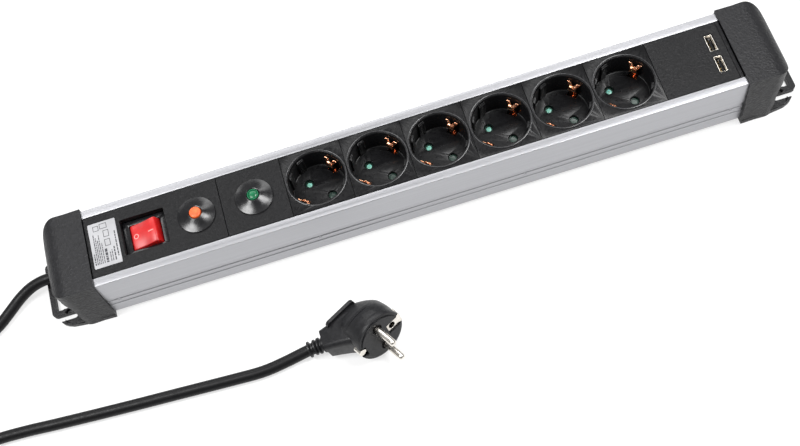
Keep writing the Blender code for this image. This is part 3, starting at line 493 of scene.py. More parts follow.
def prism(name, outline, axis, low, high, finish=None):
    """Extrude a 2D outline along X (outline in Y, Z), Y (outline in X, Z) or Z (outline in X, Y)."""
    place = {
        "X": lambda a, b, along: (along, a, b),
        "Y": lambda a, b, along: (a, along, b),
        "Z": lambda a, b, along: (a, b, along),
    }[axis]
    count = len(outline)
    points = [place(a, b, low) for a, b in outline] + [place(a, b, high) for a, b in outline]
    faces = [tuple(range(count)), tuple(range(count, 2 * count))]
    for index in range(count):
        following = (index + 1) % count
        faces.append((index, following, count + following, count + index))
    return mesh_piece(name, points, faces, finish)


def block(name, low, high, finish=None):
    """Make a box from its lowest and highest corners."""
    outline = [(low[0], low[1]), (high[0], low[1]), (high[0], high[1]), (low[0], high[1])]
    return prism(name, outline, "Z", low[2], high[2], finish)


def arc(centre, radius, start, end, steps):
    """Return points along an arc, both ends included, with angles in degrees."""
    turns = [math.radians(start + (end - start) * step / steps) for step in range(steps + 1)]
    return [
        (centre[0] + radius * math.cos(turn), centre[1] + radius * math.sin(turn))
        for turn in turns
    ]


def circle(radius, count, centre=(0.0, 0.0)):
    """Return points round a circle."""
    return arc(centre, radius, 0, 360, count)[:-1]


def rounded_rectangle(half_x, half_y, radius, steps=5, centre=(0.0, 0.0)):
    """Return a rectangle's outline with round corners."""
    x, y = half_x - radius, half_y - radius
    outline = []
    for sx, sy, start in ((1, 1, 0), (-1, 1, 90), (-1, -1, 180), (1, -1, 270)):
        corner = (centre[0] + sx * x, centre[1] + sy * y)
        outline += arc(corner, radius, start, start + 90, steps)
    return outline


def loft(name, rings, finish=None, closed=False):
    """Bridge rings with equal point counts; the ends are capped unless the rings close in a loop."""
    count = len(rings[0])
    points = [point for ring in rings for point in ring]
    faces = []
    last = len(rings) if closed else len(rings) - 1
    for ring in range(last):
        near, far = ring * count, ((ring + 1) % len(rings)) * count
        for index in range(count):
            following = (index + 1) % count
            faces.append((near + index, near + following, far + following, far + index))
    if not closed:
        faces.append(tuple(range(count)))
        faces.append(tuple(range(len(points) - count, len(points))))
    return mesh_piece(name, points, faces, finish)


def turned(name, outline, segments, finish=None, axis="Z", centre=(0.0, 0.0, 0.0), ring=False):
    """Turn (radius, height) pairs about an axis through the centre; a ring's outline is closed."""
    place = {
        "Z": lambda a, b, along: (centre[0] + a, centre[1] + b, centre[2] + along),
        "X": lambda a, b, along: (centre[0] + along, centre[1] + a, centre[2] + b),
        "Y": lambda a, b, along: (centre[0] + a, centre[1] + along, centre[2] + b),
    }[axis]
    rings = [
        [place(a, b, height) for a, b in circle(radius, segments)] for radius, height in outline
    ]
    return loft(name, rings, finish, closed=ring)


def cylinder(name, radius, low, high, axis, centre, segments=40, finish=None):
    """Make a cylinder along an axis; the centre gives its other two coordinates."""
    return turned(name, [(radius, low), (radius, high)], segments, finish, axis, centre)


def mirrored_outline(half):
    """Close an outline given for positive first coordinates by its mirror image."""
    return list(half) + [(-y, z) for y, z in reversed(half)]


def turn_about_z(item, degrees, centre=(0.0, 0.0)):
    """Turn an object's mesh about a vertical line."""
    middle = Vector((centre[0], centre[1], 0.0)) * MM
    turn = Matrix.Rotation(math.radians(degrees), 4, "Z")
    item.data.transform(Matrix.Translation(middle) @ turn @ Matrix.Translation(-middle))
    return item


def settle(item):
    """Apply an object's modifiers to its mesh."""
    bpy.context.view_layer.update()
    evaluated = item.evaluated_get(bpy.context.evaluated_depsgraph_get())
    mesh = bpy.data.meshes.new_from_object(evaluated)
    item.modifiers.clear()
    item.data = mesh
    return item


def combine(target, operation, tools):
    """Apply Booleans of the tools to the target's mesh, and remove the tools."""
    for tool in tools:
        change = target.modifiers.new(tool.name, "BOOLEAN")
        change.operation = operation
        change.solver = "EXACT"
        change.object = tool
    settle(target)
    for tool in tools:
        bpy.data.objects.remove(tool, do_unlink=True)
    shade(target.data)
    return target


def cut(target, *tools):
    """Take the tools' shapes away from the target."""
    return combine(target, "DIFFERENCE", tools)


def join(target, *tools):
    """Add the tools' shapes to the target."""
    return combine(target, "UNION", tools)


def soften(item, width, segments=2, angle=35):
    """Round an object's sharp edges by a width in millimetres."""
    bevel = item.modifiers.new("edges", "BEVEL")
    bevel.width = width * MM
    bevel.segments = segments
    bevel.limit_method = "ANGLE"
    bevel.angle_limit = math.radians(angle)
    bevel.use_clamp_overlap = True
    bevel.harden_normals = True
    bevel.miter_outer = "MITER_ARC"
    return item


def place(item, body, slot, *nodes):
    """Fix a piece to its body and hide the nodes that it stands for; the slot is not used."""
    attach(item, body)
    if nodes:
        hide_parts(*nodes)
    return item


def gather(name, parts, angle=32):
    """Merge parts into one object that keeps each part's material."""
    shape = bmesh.new()
    finishes = []
    for part in parts:
        settle(part)
        done = len(shape.faces)
        shape.from_mesh(part.data)
        shape.faces.ensure_lookup_table()
        finish = part.data.materials[0]
        if finish not in finishes:
            finishes.append(finish)
        for face in shape.faces[done:]:
            face.material_index = finishes.index(finish)
        bpy.data.objects.remove(part, do_unlink=True)
    mesh = bpy.data.meshes.new(name)
    shape.to_mesh(mesh)
    shape.free()
    for finish in finishes:
        mesh.materials.append(finish)
    shade(mesh, angle)
    return linked(name, mesh)


def transformed(item, matrix):
    """Move an object's mesh by a matrix whose shift is in millimetres."""
    scaled = matrix.copy()
    scaled.translation = matrix.translation * MM
    item.data.transform(scaled)
    return item


def copy_of(item, name, matrix):
    """Copy an object with its mesh moved by a matrix in millimetres."""
    return transformed(linked(name, item.data.copy()), matrix)


def sector(name, inner, outer, middle, spread, low, high, finish=None):
    """Make a piece of a ring between two radii, about a middle angle in degrees."""
    outline = arc((0.0, 0.0), outer, middle - spread, middle + spread, 8)
    outline += arc((0.0, 0.0), inner, middle + spread, middle - spread, 8)
    return prism(name, outline, "Z", low, high, finish)


def ribbon(name, route, widths, across, thickness, finish):
    """Make a thin strip along a route, with a half width at each point and a fixed crossways axis."""
    points = [Vector(point) for point in route]
    across = Vector(across).normalized()
    rings = []
    for index, (point, width) in enumerate(zip(points, widths)):
        along = points[min(index + 1, len(points) - 1)] - points[max(index - 1, 0)]
        normal = across.cross(along).normalized() * thickness / 2
        side = across * width
        near, far = point + side, point - side
        rings.append([near + normal, far + normal, far - normal, near - normal])
    return loft(name, rings, finish)


def slab(name, half, radius, steps, centre, low, high, finish=None):
    """Make an upright plate with round corners from its half sizes in X and Y."""
    return prism(name, rounded_rectangle(*half, radius, steps, centre), "Z", low, high, finish)


# ---- aluminium profile and covers


def profile_outline():
    """Half of the extrusion's cross-section as (Y, Z) points, from the floor's middle and round."""
    inner = PROFILE_HALF_WIDTH - PROFILE_WALL
    half = arc((PROFILE_HALF_WIDTH - 1.2, PROFILE_BASE + 1.2), 1.2, -90, 0, 5)
    groove = [(-offset, depth) for offset, depth in GROOVE_HALF_SHAPE]
    groove += reversed(GROOVE_HALF_SHAPE)
    for height in GROOVE_HEIGHTS:
        half += [(PROFILE_HALF_WIDTH - depth, height + offset) for offset, depth in groove]
    half += arc((PROFILE_HALF_WIDTH - LIP_ROUND, TOP - LIP_ROUND), LIP_ROUND, 0, 90, 5)
    half += arc((LIP_EDGE + 0.5, TOP - 0.5), 0.5, 90, 180, 4)
    half += [(LIP_EDGE, LIP_UNDERSIDE), (inner, LIP_UNDERSIDE)]
    half += [(inner, LEDGE_TOP), (LEDGE_EDGE, LEDGE_TOP)]
    half += [(LEDGE_EDGE, LEDGE_TOP - 1.2), (inner, LEDGE_TOP - 1.2)]
    centre = (SCREW_PORT_Y, SCREW_PORT_Z)
    half.append((inner, SCREW_PORT_Z + 2.2))
    half += arc(centre, 3.3, 42, 150, 10)
    half += arc(centre, 1.9, 150, -150, 20)
    half += arc(centre, 3.3, -150, -42, 10)
    half += [(inner, SCREW_PORT_Z - 2.2), (inner, PROFILE_BASE + PROFILE_WALL)]
    return half


def profile(finish):
    """Extruded housing with rounded lips, two shallow grooves on each flank and staking marks."""
    outline = mirrored_outline(profile_outline())
    made = prism("profile_shell", outline, "X", -PROFILE_HALF_LENGTH, PROFILE_HALF_LENGTH, finish)
    dents = []
    for x in STAKE_X:
        for side in (-1, 1):
            middle = Matrix.Translation((x, side * (PROFILE_HALF_WIDTH + 0.9), STAKE_Z))
            turn = Matrix.Rotation(math.pi if side < 0 else 0.0, 4, "Z")
            dents.append(transformed(turned("stake", STAKE_OUTLINE, 20, finish, "Y"), middle @ turn))
    cut(made, *dents)
    return place(made, STRIP, "anodised_aluminium", "housing_profile")


def cover_blank(name, span, finish):
    """T-shaped cover strip between two X positions."""
    half = [
        (FLANGE_HALF_WIDTH, COVER_UNDERSIDE),
        (FLANGE_HALF_WIDTH, FLANGE_TOP),
        (COVER_HALF_WIDTH, FLANGE_TOP),
        (COVER_HALF_WIDTH, COVER_TOP),
    ]
    return prism(name, mirrored_outline(half), "X", span[0], span[1], finish)


def bezel_hole(centre):
    """Cutter for the hole round a cone's neck."""
    return cylinder("bezel_hole", BEZEL_NECK_RADIUS + GAP, CUT_LOW, CUT_HIGH, "Z", (centre, 0, 0), 64)


def covers(finishes):
    """The three cover strips between and beside the sockets, and the glossy strip at the end."""
    label_half = ((LABEL_X[1] - LABEL_X[0]) / 2 + 0.2, LABEL_HALF_WIDTH + 0.2)
    label_middle = ((LABEL_X[0] + LABEL_X[1]) / 2, 0.0)
    well = slab("well", WELL_HALF, 1.0, 4, (ROCKER_X, 0.0), CUT_LOW, CUT_HIGH)
    recess = slab("label_recess", label_half, 0.8, 4, label_middle, 47.5, CUT_HIGH)
    window_half = (PORT_HALF[0] + GAP, PORT_HALF[1] + GAP)
    windows = [slab("window", window_half, 0.5, 3, (PORT_X, y), CUT_LOW, CUT_HIGH) for y in PORT_Y]
    for name, span, cutters, node_name in (
        ("cover_switch", SWITCH_COVER_X, [well, recess, bezel_hole(BREAKER_X)], "switch_cover"),
        ("cover_lamp", INDICATOR_COVER_X, [bezel_hole(INDICATOR_X)], "indicator_cover"),
        ("cover_charging", USB_COVER_X, windows, "usb_cover"),
    ):
        made = cut(cover_blank(name, span, finishes["black_cover_plastic"]), *cutters)
        soften(made, COVER_ROUND, 3)
        place(made, STRIP, "black_cover_plastic", node_name)
    low = (SPACER_X[0], -COVER_HALF_WIDTH, COVER_UNDERSIDE)
    high = (SPACER_X[1], COVER_HALF_WIDTH, COVER_TOP - 0.2)
    strip = block("cover_end_strip", low, high, finishes["glossy_black"])
    soften(strip, 0.25, 3)
    place(strip, STRIP, "glossy_black", "end_spacer")


# ---- sockets


def socket_insert(finish, gloss):
    """One socket well in its plate, centred on the Z axis, with a glossy bead round its rim, a little lighter
    than the plate as a painted highlight.
    """
    half = SOCKET_PITCH / 2 - GAP / 2
    made = cover_blank("socket_blank", (-half, half), finish)
    shell_radius = SOCKET_WELL_RADIUS + 1.5
    shell = turned("shell", [(shell_radius, 28.5), (shell_radius, 46.0)], 96)
    join(made, shell, turned("rim", RIM_OUTLINE, 96, ring=True))
    corner = SOCKET_WELL_RADIUS - 1.0
    well = [(corner, SOCKET_FLOOR)]
    for turn in [math.radians(step * 15) for step in range(1, 7)]:
        well.append((corner + math.sin(turn), SOCKET_FLOOR + 1.0 - math.cos(turn)))
    cut(made, turned("well", [*well, *WELL_MOUTH], 96))
    ribs = []
    for axis in (PIN_AXIS, PIN_AXIS - 180):
        for offset in (-RIB_ANGLE, RIB_ANGLE):
            middle = axis + offset
            ribs.append(sector("rib", 18.1, 19.9, middle, RIB_SPREAD, 31.0, RIB_TOP))
            ribs.append(sector("ledge", 18.6, 19.9, middle, RIB_SPREAD - 0.8, RIB_TOP - 1, RIB_TOP + 0.9))
    join(made, *ribs)
    tools = []
    for side in (-1, 1):
        pin = Matrix.Rotation(math.radians(PIN_AXIS), 4, "Z") @ Vector((side * PIN_OFFSET, 0.0, 0.0))
        tools.append(turned("pin_hole", PIN_HOLE_OUTLINE, 40, centre=tuple(pin)))
        slot = block("clip_slot", (15.2, -3.5, 27.0), (19.2, 3.5, 33.6))
        tools.append(turn_about_z(slot, CLIP_AXIS if side > 0 else CLIP_AXIS + 180))
    cut(made, *tools)
    soften(made, 0.22, 2, 40)
    # Bead lighter than the plate: partly painted highlight of the rim's light line, partly real gloss
    bead = [(20.95 + 0.3 * y, 48.15 + 0.22 * z) for y, z in circle(1.0, 8)]
    return gather("socket_master", [made, turned("bead", bead, 96, gloss, ring=True)])


def clip_strip(name, route, thickness, finish, side, lean=1):
    """One bent strip of an earth contact, mirrored by side in X and by lean in Y."""
    points = [(side * x, lean * y, z) for x, y, z, width in route]
    widths = [point[3] for point in route]
    return ribbon(name, points, widths, (0, 1, 0), thickness, finish)


def earth_clip(finish):
    """One earth contact: a strap with two fingers that fork into spreading prongs, along the X axis."""
    strap = [(x, 0, CLIP_BASE_Z, CLIP_HALF_WIDTH) for x in (-CLIP_REACH, 0, CLIP_REACH)]
    parts = [clip_strip("strap", strap, 0.9, finish, 1)]
    for side in (-1, 1):
        parts.append(clip_strip("finger", CLIP_FINGER, 0.8, finish, side))
        parts.append(clip_strip("lump", CLIP_LUMP, 1.9, finish, side))
        for lean in (-1, 1):
            parts.append(clip_strip("prong", CLIP_PRONG, 1.1, finish, side, lean))
    for part in parts:
        soften(part, 0.2, 2)
    return gather("earth_clip_master", parts, 40)


def shutter(finishes):
    """One shutter: a dark green bar with round ends, and a pale green dome on one end only as a painted
    highlight of light reaching it through one pin hole.
    """
    dark = finishes["shutter_dark"]
    outline = arc((PIN_OFFSET, 0.0), SHUTTER_END_RADIUS, -90, 90, 20)
    outline += arc((-PIN_OFFSET, 0.0), SHUTTER_END_RADIUS, 90, 270, 20)
    bar = prism("bar", outline, "Z", *SHUTTER_Z, dark)
    cut(bar, cylinder("bore", SHUTTER_BORE_RADIUS, 25.0, 30.0, "Z", (0, 0, 0), 32))
    soften(bar, 0.25, 2)
    # Pale green dome at one end only: painted highlight where light reaches the shutter through that pin hole
    dome = turned("dome", SHUTTER_HIGHLIGHT_DOME, 32, finishes["shutter_green"], centre=(PIN_OFFSET, 0.0, 0.0))
    parts = [bar, dome]
    for x in (-PIN_OFFSET, PIN_OFFSET):
        parts.append(turned("collar", SHUTTER_COLLAR, 32, dark, centre=(x, 0.0, 0.0), ring=True))
    return gather("shutter_master", parts)


def sockets(finishes):
    """Six sockets, each with its insert, shutter and earth clip."""
    insert = socket_insert(finishes["socket_plastic"], finishes["rim_gloss"])
    clip = earth_clip(finishes["copper"])
    bar = shutter(finishes)
    for number in range(1, 7):
        middle = Matrix.Translation((FIRST_SOCKET_X + (number - 1) * SOCKET_PITCH, 0.0, 0.0))
        made = copy_of(insert, f"socket_{number}", middle)
        place(made, STRIP, "socket_plastic", f"socket_insert_{number}")
        turn = Matrix.Rotation(math.radians(CLIP_AXIS), 4, "Z")
        made = copy_of(clip, f"contact_{number}", middle @ turn)
        place(made, STRIP, "copper", f"earth_clip_{number}")
        turn = Matrix.Rotation(math.radians(PIN_AXIS), 4, "Z")
        made = copy_of(bar, f"shield_{number}", middle @ turn)
        place(made, f"shutter_{number}", "shutter_green", f"shutter_{number}")
    for master in (insert, clip, bar):
        bpy.data.objects.remove(master, do_unlink=True)


# ---- switch, button and lamp


def switch(finishes):
    """Switch body with its bezel frame, the red rocker and the marks on it."""
    gloss, red, ink = finishes["glossy_black"], finishes["rocker_red"], finishes["print_light"]
    centre = (ROCKER_X, 0.0)
    frame = slab("frame", SWITCH_BEZEL_HALF, 1.2, 4, centre, *SWITCH_BEZEL_Z, gloss)
    cut(frame, slab("hole", SWITCH_OPENING_HALF, 0.8, 4, centre, CUT_LOW, CUT_HIGH))
    wall = slab("wall", SWITCH_BODY_HALF, 0.6, 3, centre, *SWITCH_BODY_Z, gloss)
    cut(wall, slab("room", SWITCH_OPENING_HALF, 0.8, 4, centre, SWITCH_ROOM_FLOOR, CUT_HIGH))
    for part in (frame, wall):
        soften(part, 0.3, 3)
    place(gather("switch_body", [frame, wall]), STRIP, "black_cover_plastic", "rocker_switch_body")

    half = arc((9.0, -3.8), 1.0, -60, 0, 4) + [(10.45, -2.4), (10.7, 0.0), (10.6, 2.4), (10.2, 4.2)]
    half += [(9.7, 5.3), (9.0, 5.85), (8.2, 6.0), (5.0, 5.72), (2.0, 5.5), (0.5, 5.45)]
    shape = prism("rocker_key", mirrored_outline(half), "Y", -ROCKER_HALF_WIDTH, ROCKER_HALF_WIDTH, red)
    soften(shape, 0.45, 3, 40)
    settle(shape)
    pins = cylinder("pins", PIVOT_RADIUS, -PIVOT_HALF_LENGTH, PIVOT_HALF_LENGTH, "Y", (0, 0, 0), 24, red)
    lean = Matrix.Rotation(ROCKER_REST_TILT, 4, "Y")
    tilt = Matrix.Translation((ROCKER_X, 0.0, ROCKER_PIVOT_Z)) @ lean
    place(transformed(gather("rocker_key", [shape, pins]), tilt), "rocker", "rocker_red", "rocker")

    off_mark = [(1.35, 5.5), (1.9, 5.5), (1.9, 5.98), (1.35, 5.98)]
    ring = turned("ring", off_mark, 40, ink, centre=(-5.9, 0.0, 0.0), ring=True)
    dash = block("dash", (3.6, -0.32, 5.3), (7.8, 0.32, 6.05), ink)
    place(transformed(gather("rocker_marks", [ring, dash]), tilt), "rocker", "rocker_red")


def cone(name, centre, finish, node_name):
    """Glossy cone round a button or lamp, standing on the cover with its neck in the hole."""
    inner = BEZEL_INNER_RADIUS
    outline = [(inner, 44.0), (BEZEL_NECK_RADIUS, 44.0), (BEZEL_NECK_RADIUS, 48.2)]
    outline += [(13.2, 48.2), (13.35, 48.3), (13.4, 48.5), (13.2, 48.75)]
    for part in (0.75, 0.5, 0.25):
        sag = 0.25 * math.sin(math.pi * part)
        outline.append((5.3 + 7.9 * part, 51.75 - 3.0 * part - sag))
    outline += [(5.3, 51.75), (4.95, 51.9), (4.6, 51.8), (inner, 51.4)]
    made = turned(name, outline, 128, finish, centre=(centre, 0, 0), ring=True)
    return place(made, STRIP, "glossy_black", node_name)


def button_and_lamp(finishes):
    """Breaker cone with its orange button, and lamp cone with its green lens."""
    cone("breaker_cone", BREAKER_X, finishes["glossy_black"], "breaker_bezel")
    cone("lamp_cone", INDICATOR_X, finishes["glossy_black"], "indicator_bezel")
    button = turned("button", BUTTON_DOME, 64, finishes["button_orange"], centre=(BREAKER_X, 0, 0))
    place(button, "breaker_button", "button_orange", "breaker_button")
    centre = (INDICATOR_X, 0, 0)
    holder = turned("holder", LENS_HOLDER, 64, finishes["lens_ring"], centre=centre, ring=True)
    glass = turned("glass", LENS_DOME, 48, finishes["lens_green"], centre=centre)
    place(gather("lamp", [holder, glass]), STRIP, "lens_green", "indicator_lens")


def label(finishes):
    """Silver rating label with plain dark bars and boxes in place of any text."""
    ink = finishes["print_dark"]
    middle = ((LABEL_X[0] + LABEL_X[1]) / 2, 0.0)
    half = ((LABEL_X[1] - LABEL_X[0]) / 2, LABEL_HALF_WIDTH)
    plate = slab("label_plate", half, 0.7, 4, middle, *LABEL_Z, finishes["label_silver"])
    soften(plate, 0.06, 2)
    place(plate, STRIP, "label_silver", "rating_label")
    printed = []
    dice = random.Random(7)
    for x, low, high, width in LABEL_BARS:
        start = low
        while start < high:
            end = min(high, start + dice.uniform(0.8, 3.0))
            corners = ((x - width / 2, start, PRINT_BASE), (x + width / 2, end, PRINT_TOP))
            printed.append(block("bar", *corners, ink))
            start = end + PRINT_GAP
    for x, y, half_x, half_y in LABEL_BOXES:
        outer = block("box", (x - half_x, y - half_y, PRINT_BASE), (x + half_x, y + half_y, PRINT_TOP), ink)
        half_x -= BOX_LINE
        half_y -= BOX_LINE
        hole = block("hole", (x - half_x, y - half_y, 47.0), (x + half_x, y + half_y, 49.0))
        printed.append(cut(outer, hole))
    place(gather("label_print", printed), STRIP, "black_cover_plastic")


def charging_ports(finishes):
    """Sheet-metal port shells, each with a dark tongue and four contacts."""
    mouth_half = (PORT_HALF[0] - PORT_WALL, PORT_HALF[1] - PORT_WALL)
    for number, y in enumerate(PORT_Y, start=1):
        centre = (PORT_X, y)
        shell = slab(f"shell_{number}", PORT_HALF, 0.45, 4, centre, *PORT_Z, finishes["nickel"])
        cut(shell, slab("mouth", mouth_half, 0.3, 4, centre, PORT_FLOOR, CUT_HIGH))
        soften(shell, 0.12, 2)
        corners = ((PORT_X + 0.3, y - 5.3, 33.6), (PORT_X + 1.7, y + 5.3, 44.6))
        parts = [shell, soften(block("tongue", *corners, finishes["glossy_black"]), 0.2, 2)]
        for lane in CONTACT_Y:
            corners = ((PORT_X + 0.15, y + lane - 0.5, 35.0), (PORT_X + 0.35, y + lane + 0.5, 44.0))
            parts.append(block("contact", *corners, finishes["brass"]))
        place(gather(f"charging_port_{number}", parts), STRIP, "nickel", f"usb_port_{number}")


# ---- end caps


def cap_end_x(y, half_width):
    """X of the +X cap's bulged end wall at a distance from its middle."""
    return CAP_END - CAP_END_BULGE * (y / half_width) ** 2


def cap_plan(half_width):
    """Plan outline of the +X cap's hood, with its bulged end and round corners."""
    inner = half_width - CAP_CORNER_ROUND
    corner = (cap_end_x(inner, half_width) - CAP_CORNER_ROUND, inner)
    half = [(CAP_EDGE - 2, half_width), (240.0, half_width - 0.3)]
    half += arc(corner, CAP_CORNER_ROUND, 86, 9, 14)
    half += [(cap_end_x(inner * part / 8, half_width), inner * part / 8) for part in range(7, 0, -1)]
    return half + [(CAP_END, 0.0)] + [(x, -y) for x, y in reversed(half)]


def cap_base_outline():
    """Plan outline of the +X cap's base plate with its ear and the two tongues beside the slots."""
    half = [
        (CAP_EDGE + CAP_EDGE_LEAN, CAP_BASE_HALF_WIDTH),
        (240.0, CAP_BASE_HALF_WIDTH - 0.3),
        (252.0, CAP_BASE_HALF_WIDTH - 1.0),
        (262.0, CAP_BASE_HALF_WIDTH - 2.2),
        (266.0, CAP_BASE_HALF_WIDTH - 3.8),
        (TONGUE_END - 1.4, TONGUE_EDGE + 1.9),
        (TONGUE_END - 0.3, TONGUE_EDGE + 0.7),
        (TONGUE_END, TONGUE_EDGE - 0.6),
        (TONGUE_END - 1.0, TONGUE_EDGE - 3.0),
        (EAR_END - 3.4, EAR_HALF_WIDTH + 1.0),
        (EAR_END - 2.6, EAR_HALF_WIDTH - 0.2),
    ]
    half += arc((EAR_END - 3.2, EAR_HALF_WIDTH - 3.2), 3.2, 75, 0, 6)
    return half + [(x, -y) for x, y in reversed(half)]


def mirrored(outline, side):
    """Mirror an outline given for the +X cap when the side is -1."""
    return [(side * x, y) for x, y in outline]


def cap_cutters(side):
    """Cutters for a cap: its inside, ear hole, screw slots, scoops and screw seats."""
    start, stop = CAP_EDGE - 2, PROFILE_HALF_LENGTH + GAP
    inside = [(start, 1.7), (stop, 1.7), (stop, TOP + GAP), (start, TOP + GAP)]
    room = [(237.0, CAP_FLOOR), (ROOM_END, CAP_FLOOR), (ROOM_END, 45.5), (237.0, 45.5)]
    corridor = [(246.0, CAP_FLOOR), (CORRIDOR_END, CAP_FLOOR), (CORRIDOR_END, 35.0)]
    corridor += [(255.0, 42.0), (246.0, 45.5)]
    tools = []
    for name, outline, reach in (
        ("inside", inside, PROFILE_HALF_WIDTH + GAP),
        ("room", room, ROOM_HALF_WIDTH),
        ("corridor", corridor, CORRIDOR_HALF_WIDTH),
    ):
        tools.append(prism(name, mirrored(outline, side), "Y", -reach, reach))
    ear_middle = (side * (EAR_HOLE_X[0] + EAR_HOLE_X[1]) / 2, 0.0)
    ear_half = ((EAR_HOLE_X[1] - EAR_HOLE_X[0]) / 2, EAR_HOLE_HALF_WIDTH)
    tools.append(slab("ear_hole", ear_half, 2.2, 6, ear_middle, -1.0, 8.0))
    slot_middle = (EAR_HALF_WIDTH + TONGUE_EDGE) / 2
    slot_radius = (TONGUE_EDGE - EAR_HALF_WIDTH) / 2
    for end in (-1, 1):
        middle = end * slot_middle
        slot = arc((SLOT_END_X, middle), slot_radius, 90, 270, 16)
        slot += [(EAR_END + 1, middle - slot_radius), (EAR_END + 1, middle + slot_radius)]
        tools.append(prism("slot", mirrored(slot, side), "Z", -1.0, 8.0))
        scoop_centre = (side * SCOOP_CENTRE[0], end * SCOOP_CENTRE[1], 0.0)
        tools.append(turned("scoop", SCOOP_OUTLINE, 72, centre=scoop_centre))
        screw = (0.0, end * SCREW_PORT_Y, SCREW_PORT_Z)
        for name, radius, inner, segments in SCREW_BORES:
            ends = sorted((side * inner, side * SCREW_TOOL_END))
            tools.append(cylinder(name, radius, *ends, "X", screw, segments))
    if side < 0:
        tools.append(cylinder("cord_hole", 6.3, -266.0, -255.0, "X", (0.0, CORD_Y, CORD_Z), 48))
    return tools


def cap_hood(name, side, finish):
    """Hood of a cap: its side view with the rounded crown, kept where its leaning plan reaches."""
    crown = (CAP_END - CAP_TOP_ROUND, CAP_TOP - CAP_TOP_ROUND)
    side_view = [(CAP_EDGE + CAP_EDGE_LEAN, 0.0), (CAP_END + 1, 0.0), (CAP_END + 1, crown[1])]
    side_view += arc(crown, CAP_TOP_ROUND, 0, 90, 20) + [(CAP_EDGE, CAP_TOP)]
    reach = CAP_BASE_HALF_WIDTH + 1
    made = prism(name, mirrored(side_view, side), "Y", -reach, reach, finish)
    lean = (CAP_BASE_HALF_WIDTH - CAP_TOP_HALF_WIDTH) / CAP_TOP
    rings = []
    for height in (-1.0, CAP_TOP + 1):
        outline = mirrored(cap_plan(CAP_BASE_HALF_WIDTH - lean * height), side)
        rings.append([(x, y, height) for x, y in outline])
    return combine(made, "INTERSECT", [loft("plan", rings)])


def cap_shelf(side, end):
    """Low rim on the base plate in front of one scoop."""
    outline = [(250.0, 18.0)]
    for x, inset in ((250.0, 1.3), (262.0, 2.5), (264.5, 3.4), (266.0, 5.0)):
        outline.append((x, CAP_BASE_HALF_WIDTH - inset))
    outline.append((266.0, 18.0))
    turned_round = [(x, end * y) for x, y in outline]
    return prism("shelf", mirrored(turned_round, side), "Z", 1.0, SHELF_TOP)


def end_caps(finish):
    """Both end caps: a rounded hood on a base plate with an ear, slots and scoops."""
    for side, name in ((-1, "left"), (1, "right")):
        made = cap_hood(f"cap_{name}", side, finish)
        base = prism("base", mirrored(cap_base_outline(), side), "Z", 0.0, CAP_BASE_HEIGHT)
        join(made, base, *(cap_shelf(side, end) for end in (-1, 1)))
        cut(made, *cap_cutters(side))
        soften(made, 0.5, 3, 38)
        place(made, STRIP, "black_cap_plastic", f"end_cap_{name}")


def cap_screws(finish):
    """Four pan-head screws with cross recesses, two in each cap."""
    shape = [(1.5, 231.0), (1.5, SCREW_HEAD_X), (3.0, SCREW_HEAD_X), (3.0, 255.9)]
    shape += [(2.7, 256.5), (1.9, 256.9), (0.6, 257.0)]
    places = [(side, end) for side in (-1, 1) for end in (-1, 1)]
    for number, (side, end) in enumerate(places, start=1):
        centre = (0.0, end * SCREW_PORT_Y, SCREW_PORT_Z)
        outline = [(radius, side * x) for radius, x in shape]
        made = turned(f"screw_{number}", outline, 32, finish, "X", centre)
        for turn in (45, 135):
            bar = block("cross", (256.0, -1.7, -0.32), (258.0, 1.7, 0.32))
            if side < 0:
                transformed(bar, Matrix.Rotation(math.pi, 4, "Z"))
            spin = Matrix.Rotation(math.radians(turn), 4, "X")
            cut(made, transformed(bar, Matrix.Translation(centre) @ spin))
        place(made, STRIP, "zinc", f"cap_screw_{number}")


# ---- cord fittings


def gland(finish):
    """Ribbed sleeve round the cord where it leaves the left cap."""
    outline = [(4.5, -266.2), (5.0, -266.3), (5.5, -265.6), (5.85, -264.6)]
    for rib in range(2):
        for radius, x in ((5.85, -263.4), (5.5, -263.2), (5.5, -262.7), (5.85, -262.5)):
            outline.append((radius, x + 1.6 * rib))
    outline += [(5.9, -253.0), (6.9, -253.0), (6.9, -239.0), (4.5, -239.0)]
    made = turned("cord_sleeve", outline, 48, finish, "X", (0.0, CORD_Y, CORD_Z), ring=True)
    place(made, STRIP, "cord_black", "cable_gland")


def tie(finish):
    """Flat strap round the coil's bundle, with its buckle on top."""
    x_in = COIL_CENTRE[0] - (COIL_MEAN_RADIUS - 1.5 * CORD_DIAMETER) + 1.0
    x_out = COIL_CENTRE[0] - (COIL_MEAN_RADIUS + 1.5 * CORD_DIAMETER) - 0.6
    half = ((x_in - x_out) / 2 + 0.7, 8.5)
    centre = ((x_in + x_out) / 2, 8.6)
    middle = COIL_CENTRE[1]
    band = rounded_rectangle(half[0], half[1], 5.0, 10, centre)
    hole = rounded_rectangle(half[0] - 0.8, half[1] - 0.8, 4.2, 10, centre)
    strap = prism("strap", band, "Y", middle - 4.5, middle + 4.5, finish)
    cut(strap, prism("loop", hole, "Y", middle - 6, middle + 6))
    corners = ((centre[0] - 4.5, middle - 6.0, 16.4), (centre[0] + 4.5, middle + 6.0, 18.0))
    parts = [soften(part, 0.3, 2) for part in (strap, block("buckle", *corners, finish))]
    place(gather("coil_strap", parts), STRIP, "glossy_black", "coil_tie")


# ---- plug


def plug_ring(left, right, half_height, depth, power=0.8, count=72):
    """Rounded section of the plug body between two X positions at one depth behind its face."""
    middle, half = (left + right) / 2, (right - left) / 2
    ring = []
    for index in range(count):
        turn = 2 * math.pi * index / count
        across = math.copysign(abs(math.cos(turn)) ** power, math.cos(turn))
        up = math.copysign(abs(math.sin(turn)) ** power, math.sin(turn))
        ring.append((middle + half * across, half_height * up, -depth))
    return ring


def blended_sections(sections, steps):
    """Read more sections (left, right, half height, depth, power) from a smooth curve through a few."""
    return smooth_curve([Vector(section) for section in sections], lambda start, end: steps)


